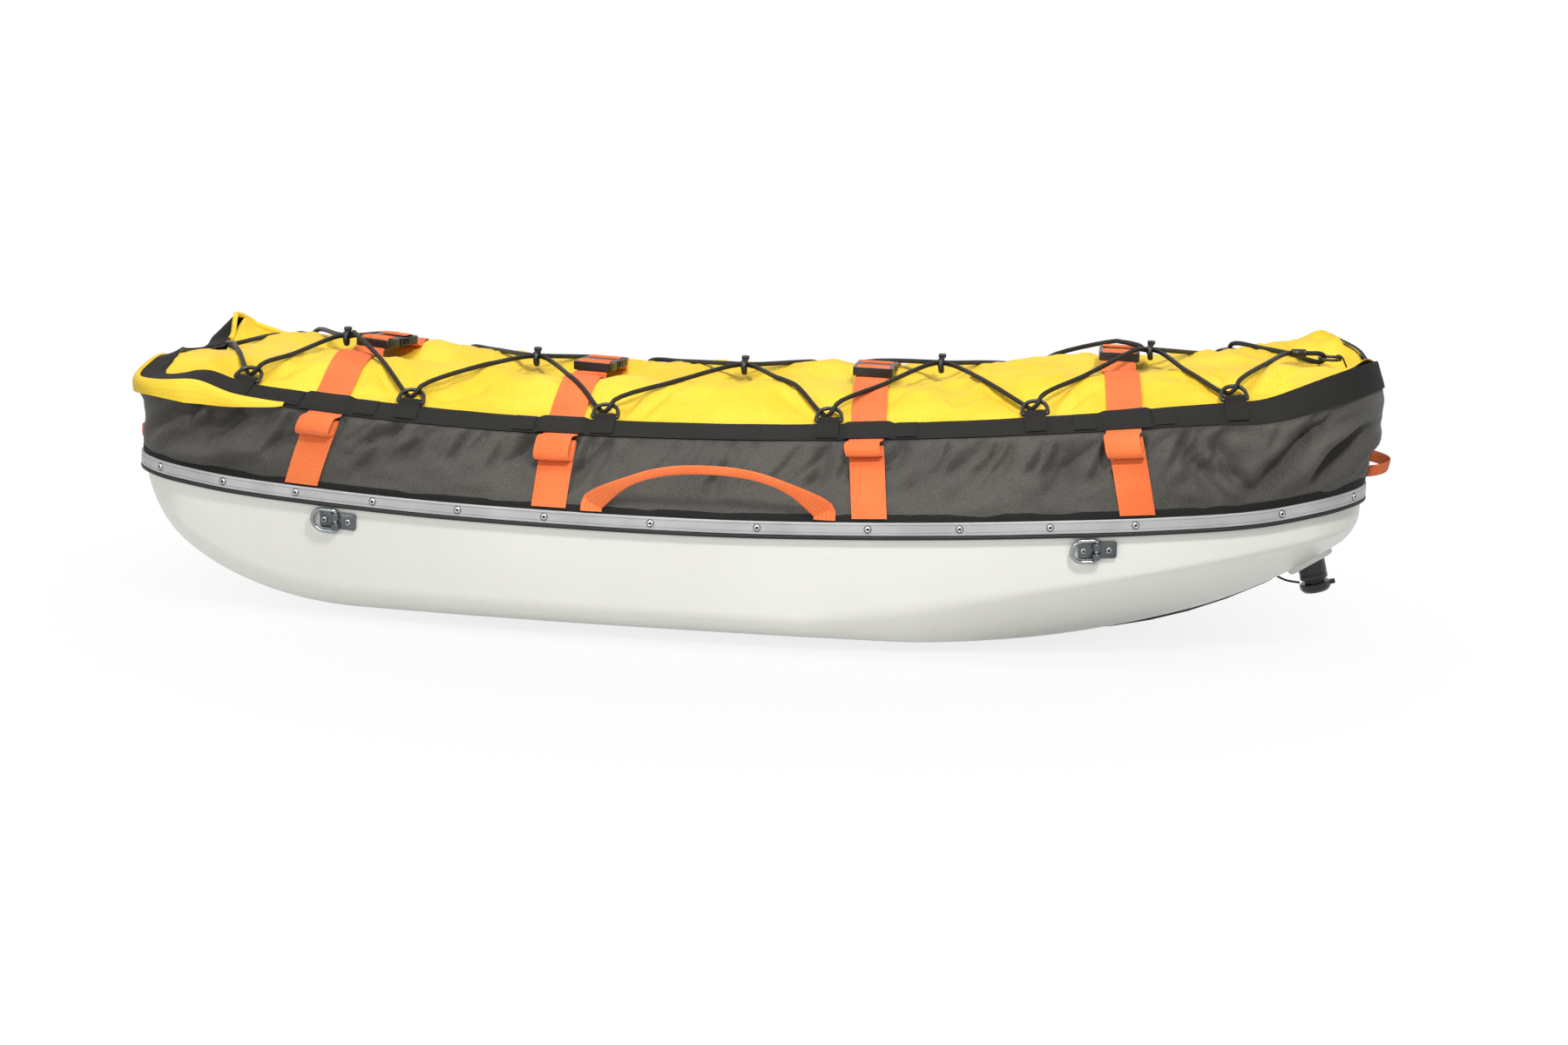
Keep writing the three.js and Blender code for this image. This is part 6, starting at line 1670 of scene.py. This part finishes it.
def make_bow_ring():
    """A rounded wire loop and the strip of webbing that holds it to the bow's edge."""
    back, half, corner = 24.2, 15.0, 9.0
    turn = np.linspace(0, np.pi / 2, 7)
    quarter = np.stack([np.cos(turn), np.sin(turn)], -1) * corner
    outline = np.concatenate([
        quarter + [back - corner, half - corner], quarter[:, ::-1] * [-1, 1] + [corner, half - corner],
        quarter * [-1, -1] + [corner, corner - half],
        quarter[:, ::-1] * [1, -1] + [back - corner, corner - half]])
    loop = spaced(vec(outline[:, 0], outline[:, 1], 0) + BOW_EYE, 64, True)
    ring = tube(loop, EYE_WIRE, 12, True, 1)
    start = np.array([[BOW_EYE[0] + back, 0, BOW_EYE[2]]])
    laid = laid_places(EDGE[-1], -EYE_IN, 1 + 1.3)
    laid = laid[laid[:, 0] > start[0, 0] + 5][::-1]
    line = through(np.vstack([start + [-4, 0, 2.6], start + [-1, 0, 3.2], start + [3, 0, 1.2], laid]), 6)
    strip = webbing(line + [0, -10, 0], line + [0, 10, 0], 2.0)
    return make("bow_eye", [strip, ring], [BLACK_WEB, PAINTED], "sled", ["bow_ring"])


make_bow_ring()

# %% [markdown]
# ## Lashing rings on the hull
# Each is a welded ring in a hinge on a small plate, held to the hull by two screws. The plate's frame is
# taken from the hull's own side, so it lies flat there; the ring rides on a body of its own and swings.

# %% Lashing plates and rings
LASH_DOWN, LASH_HALF, LASH_HIGH = 36, 22, 10
PLATE_LENGTH, PLATE_WIDTH, PLATE_T, HINGE_HEIGHT = 44, 20, 3, 5
SCREW_HEAD = [
    [0.01, -0.3], [4, -0.3], [4, 0.5], [3.5, 1.3], [2.4, 1.8], [1.7, 1.85], [1.65, 0.6], [0.01, 0.55]]
# The socket's floor: a dark disc of painted shade in the head's recess.
SCREW_SOCKET = [[0.01, 0.5], [1.5, 0.5], [1.5, 0.75], [0.01, 0.8]]


def hull_side_at(x, z):
    """Half width of the hull's side at a height."""
    line = hull_half(np.array([float(x)]))[0]
    keep = np.concatenate([[True], np.diff(line[:, 1]) > 1e-6])
    return float(np.interp(z, line[keep, 1], line[keep, 0]))


def lashing_frame(share, side):
    """A frame on the hull's side: x along the hull, y up, z outwards, clear of the skin's swell."""
    x = share * HALF

    def on_side(at, drop):
        """A place on the side, some way below the sheer."""
        z = float(sheer(at)) - drop
        return np.array([at, side * hull_side_at(at, z), z])

    forward = unit(on_side(x + 12, LASH_DOWN) - on_side(x - 12, LASH_DOWN))
    up = on_side(x, LASH_DOWN - 12) - on_side(x, LASH_DOWN + 12)
    up = unit(up - forward * (up @ forward))
    if side > 0:
        forward = -forward
    out = np.cross(forward, up)
    base = on_side(x, LASH_DOWN)
    spots = [base + forward * a * LASH_HALF + up * b * LASH_HIGH for a in (-1, 0, 1) for b in (-1, 0, 1)]
    reach = max((on_side(spot[0], float(sheer(spot[0])) - spot[2]) - base) @ out for spot in spots)
    return frame_from(forward, up, out, base + out * (reach + 0.6))


def screw_parts(x, at):
    """A button-head screw with a hexagon socket, whose floor is coloured with painted shade."""
    here = frame_from(at[:3, 0], at[:3, 1], at[:3, 2], placed([x, 0, PLATE_T], at))
    return [turned(SCREW_HEAD, 24, here, 1), turned(SCREW_SOCKET, 6, here, 2)]


def knuckle(low, high, at):
    """A short tube round the hinge's pin between two places along it, its ends a little rounded."""
    outline = [[3.1, low], [4.6, low], [5, low + 0.4], [5, high - 0.4], [4.6, high], [3.1, high]]
    radius, along = np.array(outline).T
    turn = np.linspace(0, 2 * np.pi, 32, endpoint=False)[:, None]
    grid = vec(radius * np.cos(turn), along + 0 * turn, HINGE_HEIGHT + radius * np.sin(turn))
    return swept(placed(grid, at), True)


def make_plate(share, end, side, word):
    """The plate with a knuckle at each side of the ring's wire, and its two screws."""
    at = lashing_frame(share, side)
    parts = [plate_patch(PLATE_LENGTH, PLATE_WIDTH, 0, PLATE_T, 3, at @ moved([-side * 2, 0, 0]), soft=0.5)]
    parts += [knuckle(low, high, at) for low, high in ((-10, -2.5), (2.5, 10))]
    parts += [part for way in (-1, 1) for part in screw_parts(way * 14.5, at)]
    return make(f"lashing_base_{end}_{word}", parts, [PLATE_METAL, ZINC, HOLE_SHADE], "sled",
                [f"lashing_plate_{end}_{word}"])


def make_lashing_ring(share, end, side, word):
    """A welded D of 5 mm wire, lying towards the stern from its hinge."""
    at = lashing_frame(share, side) @ moved([0, 0, HINGE_HEIGHT])
    turn = np.linspace(0, np.pi, 33)
    arc = vec(side * (15.5 + 13 * np.sin(turn)), 13 * np.cos(turn), 0)
    points = np.concatenate([
        [[0, -11.5, 0], [0, 0, 0], [0, 11.5, 0], [side * 1.5, 12.8, 0], [side * 6, 13, 0]], arc,
        [[side * 6, -13, 0], [side * 1.5, -12.8, 0]]])
    wire = spaced(through(points, 3, True), 96, True)
    node = f"lashing_ring_{end}_{word}"
    return make(f"{node}_wire", [tube(placed(wire, at), 2.5, 16, True, 0, at[:3, 2])], [ZINC], node, [node])


for share, end in ((-0.645, "stern"), (0.575, "bow")):
    for side, word in SIDES:
        make_plate(share, end, side, word)
        make_lashing_ring(share, end, side, word)

# %% [markdown]
# ## Towing hitch
# The harness pole plugs into a socket under the bow; a collar turns to lock it, on a thin lanyard. Socket
# and collar are round, so each is turned from a profile rather than modelled face by face.

# %% Hitch
HITCH_TILT = math.radians(14)
CUP_PROFILE = [
    [0.01, -27], [12, -27], [12, -23.4], [15.6, -23], [16.5, -22], [16.5, -17], [15.9, -16.4],
    [15.9, -15.6], [16.5, -15], [16.5, 6], [0.01, 6]]
COLLAR_PROFILE = [
    [0.01, -38.3], [14.0, -38.3], [14.8, -37.8], [17.2, -35.4], [18.5, -32.8], [18.5, -28.3],
    [17.6, -27.3], [0.01, -27.3]]
LUG_OUT = 19.7


def hitch_axis():
    """The socket's own frame under the pad, tilted forward."""
    tilt = HITCH_TILT
    c, s = math.cos(tilt), math.sin(tilt)
    return frame_from([c, 0, s], [0, 1, 0], [-s, 0, c], placed([0, 0, -PAD_DEEP], PAD))


AXIS = hitch_axis()
make("hitch_cup", [turned(CUP_PROFILE, 48, AXIS)], [PLASTIC], "sled", ["hitch_socket"])
lug = plate_patch(8.4, 6, -32.8, -27.5, 1.5, AXIS @ moved([LUG_OUT, 0, 0]), soft=0.8)
make("hitch_collar_ring", [turned(COLLAR_PROFILE, 48, AXIS), lug], [PLASTIC], "hitch_collar",
     ["hitch_collar"])


NOSE_X = 0.868 * HALF
LACE_WIDTH, LACE_T = 5, 2.2


def make_lanyard():
    """A flat lace from the runner's nose to the neck of the socket, sagging a little."""
    start = np.array([NOSE_X + 0.6, 0, float(keel(NOSE_X)) - FIT - 8 / 3 + 1.25])
    end = placed([-17.75, 0, -25], AXIS)
    middle = mix(start, end, 0.5) - [0, 0, 2.5]
    line = through(np.stack([start, middle, end]), 12)
    lefts, rights = (line + [0, way * LACE_WIDTH / 2, 0] for way in (-1, 1))
    return make("hitch_lace", [webbing(lefts, rights, LACE_T)], [CORD], "sled", ["hitch_lanyard"])


make_lanyard()

# %% [markdown]
# ## Handles
# The side handles are orange webbing, flat where they are sewn in over the rail and folded round in the
# hand; the end handles are short flat loops. A sweep of one fixed section can't fold, so the section's
# width and thickness change along the path.

# %% Handles
HANDLE_FROM, HANDLE_TO = -0.225 * HALF, 0.147 * HALF
HANDLE_OUT, HANDLE_UP = 30, 50
HANDLE_WIDE, HANDLE_NARROW, WEB_T, HANDLE_THICK = 25, 10.5, 1.9, 5.0
LOOP_OUT, LOOP_SAG, LOOP_HIGH, LOOP_ROOT, LOOP_HALF = 28, 9, 13.0, 60, 7


def folded_webbing(path, width, thickness, sideways):
    """Webbing that goes from flat to a rounded fold: a squared ellipse of changing width and thickness."""
    tangent = unit(np.gradient(path, axis=0))
    across = unit(sideways - tangent * np.sum(sideways * tangent, -1, keepdims=True))
    normal = np.cross(tangent, across)
    turn = np.linspace(0, 2 * np.pi, 20, endpoint=False)
    c, s = np.cos(turn), np.sin(turn)
    squared = np.sign(c) * np.abs(c) ** 0.55, np.sign(s) * np.abs(s) ** 0.75
    grid = (path[:, None] + across[:, None] * (width / 2)[:, None, None] * squared[0][None, :, None]
            + normal[:, None] * (thickness / 2)[:, None, None] * squared[1][None, :, None])
    return swept(grid)


def make_side_handle(side, word):
    """An arch from root to root that stands off the skirt, wide at its roots and folded in the middle."""
    t = (1 - np.cos(np.linspace(0, np.pi, 61))) / 2
    arch = 1 - np.abs(2 * t - 1) ** 2.4
    x = mix(HANDLE_FROM, HANDLE_TO, t)
    foot, above = (wall_at(x, share, SKIRT_OUT + 2.25 + 1, side) for share in (0.0, 0.25))
    root = mix(foot, above, (10 / (above[:, 2] - foot[:, 2]))[:, None])
    path = root + vec(0 * x, side * HANDLE_OUT * arch, HANDLE_UP * arch)
    low = mix(foot, above, (1 / (above[:, 2] - foot[:, 2]))[:, None])
    path = np.vstack([low[:1], path, low[-1:]])
    arch = np.concatenate([[0], arch, [0]])
    width = mix(HANDLE_WIDE, HANDLE_NARROW, ease(np.minimum(1, arch * 1.35)))
    thick = mix(WEB_T, HANDLE_THICK, ease(np.minimum(1, arch * 1.3)))
    sideways = unit(np.cross(np.gradient(path, axis=0), [0, 1, 0]))
    return make(f"handle_webbing_{word}", [folded_webbing(path, width, thick, sideways)], [ORANGE],
                f"handle_{word}", [f"handle_{word}"], sharp=60)


def make_end_handle(end, word):
    """A flat loop of webbing across the end, standing off the skirt in the middle."""
    lean, rise = (float(v) for v in wall_profile(np.array(end * HALF), 0.25))
    across = unit(np.array([end * lean, 0, rise]))
    base = HALF + lean * (LOOP_HIGH / rise) + SKIRT_OUT + 0.6 + 0.9
    t = np.linspace(0, 1, 41)
    arch = np.sin(np.pi * t) ** 0.7
    high = float(sheer(np.array(end * HALF))) + LOOP_HIGH
    sag = LOOP_SAG * arch if end < 0 else 0
    path = vec(end * (base + LOOP_OUT * arch), mix(-LOOP_ROOT, LOOP_ROOT, t), high - sag)
    lefts, rights = (path + way * across * LOOP_HALF for way in (-1, 1))
    return make(f"handle_loop_{word}", [webbing(lefts, rights, WEB_T)], [ORANGE], f"handle_{word}",
                [f"handle_{word}"], sharp=60)


for side, word in SIDES:
    make_side_handle(side, word)
for end, word in ((1, "bow"), (-1, "stern")):
    make_end_handle(end, word)

# %% [markdown]
# ## Nodes that stay
# The runners and the buckles' prongs keep their CAD shapes and get a better finish.

# %% Kept nodes
for name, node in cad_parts.items():
    look = RUNNER if name.startswith("runner") else PLASTIC
    if not node.hide_render:
        node.data.materials.clear()
        node.data.materials.append(look)

# %% [markdown]
# ## Floor and light
# A pale floor carries the shadow. Seen by the camera it fades to plain white away from the sled, as in a
# product photograph, while the lamps stay at a level where colours come out as they are written.

# %% Stage
FLOOR_HALF_SIZE = 40.0


def shown_directly(tree):
    """1 for camera, glossy and transmission rays, 0 for light that only bounces."""
    path = add_node(tree, "ShaderNodeLightPath")
    seen = sums(tree, "MAXIMUM", path.outputs["Is Camera Ray"], path.outputs["Is Glossy Ray"])
    return sums(tree, "MAXIMUM", seen, path.outputs["Is Transmission Ray"])


def make_floor():
    """A wide sheet under the runners: matt white mixed with plain white where it is seen directly."""
    mesh = bpy.data.meshes.new("floor")
    corners = [(FLOOR_HALF_SIZE * x, FLOOR_HALF_SIZE * y, 0) for x, y in ((-1, -1), (1, -1), (1, 1), (-1, 1))]
    mesh.from_pydata(corners, [], [(0, 1, 2, 3)])
    floor = bpy.data.objects.new("floor", mesh)
    bpy.context.collection.objects.link(floor)
    look = bpy.data.materials.new("floor_white")
    look.use_nodes = True
    tree = look.node_tree
    tree.nodes.clear()
    place = add_node(tree, "ShaderNodeTexCoord").outputs["Object"]
    away = add_node(tree, "ShaderNodeVectorMath", {0: place}, operation="LENGTH").outputs["Value"]
    white = sums(tree, "MULTIPLY", shown_directly(tree), ramp(tree, away, 0.3, 0.95, 0.82, 1.0))
    matt = add_node(tree, "ShaderNodeBsdfDiffuse", {"Color": (0.62, 0.62, 0.6, 1)})
    plain = add_node(tree, "ShaderNodeEmission", {"Color": (1, 1, 1, 1), "Strength": 1.0})
    both = add_node(tree, "ShaderNodeMixShader", {0: white, 1: matt.outputs[0], 2: plain.outputs[0]})
    add_node(tree, "ShaderNodeOutputMaterial", {"Surface": both.outputs[0]})
    mesh.materials.append(look)


make_floor()


def make_world(strength):
    """Soft grey light all round that shows as plain white."""
    world = bpy.data.worlds.new("studio")
    bpy.context.scene.world = world
    world.use_nodes = True
    tree = world.node_tree
    tree.nodes.clear()
    level = ramp(tree, shown_directly(tree), 0.0, 1.0, strength, 1.0)
    light = add_node(tree, "ShaderNodeBackground", {"Color": (1, 1, 1, 1), "Strength": level})
    add_node(tree, "ShaderNodeOutputWorld", {"Surface": light.outputs[0]})


def make_lamp(name, place, target, size, power):
    """A large softbox aimed at a target."""
    lamp = bpy.data.lights.new(name, "AREA")
    lamp.shape = "RECTANGLE"
    lamp.size, lamp.size_y = size
    lamp.energy = power
    made = bpy.data.objects.new(name, lamp)
    bpy.context.collection.objects.link(made)
    back = unit(np.array(place) - np.array(target))
    right = unit(np.cross([0, 0, 1.0], back) + [1e-6, 0, 0])
    made.matrix_world = world_matrix((right, np.cross(back, right), back), place)


make_world(0.3)
make_lamp("overhead", (-0.4, -0.7, 2.3), (0, 0, 0.2), (1.2, 0.7), 26)
make_lamp("key", (0.9, -2.0, 2.3), (0, 0, 0.15), (0.34, 0.34), 54)
make_lamp("front", (-1.3, -3.0, 1.1), (-0.1, 0, 0.15), (1.4, 0.9), 25)
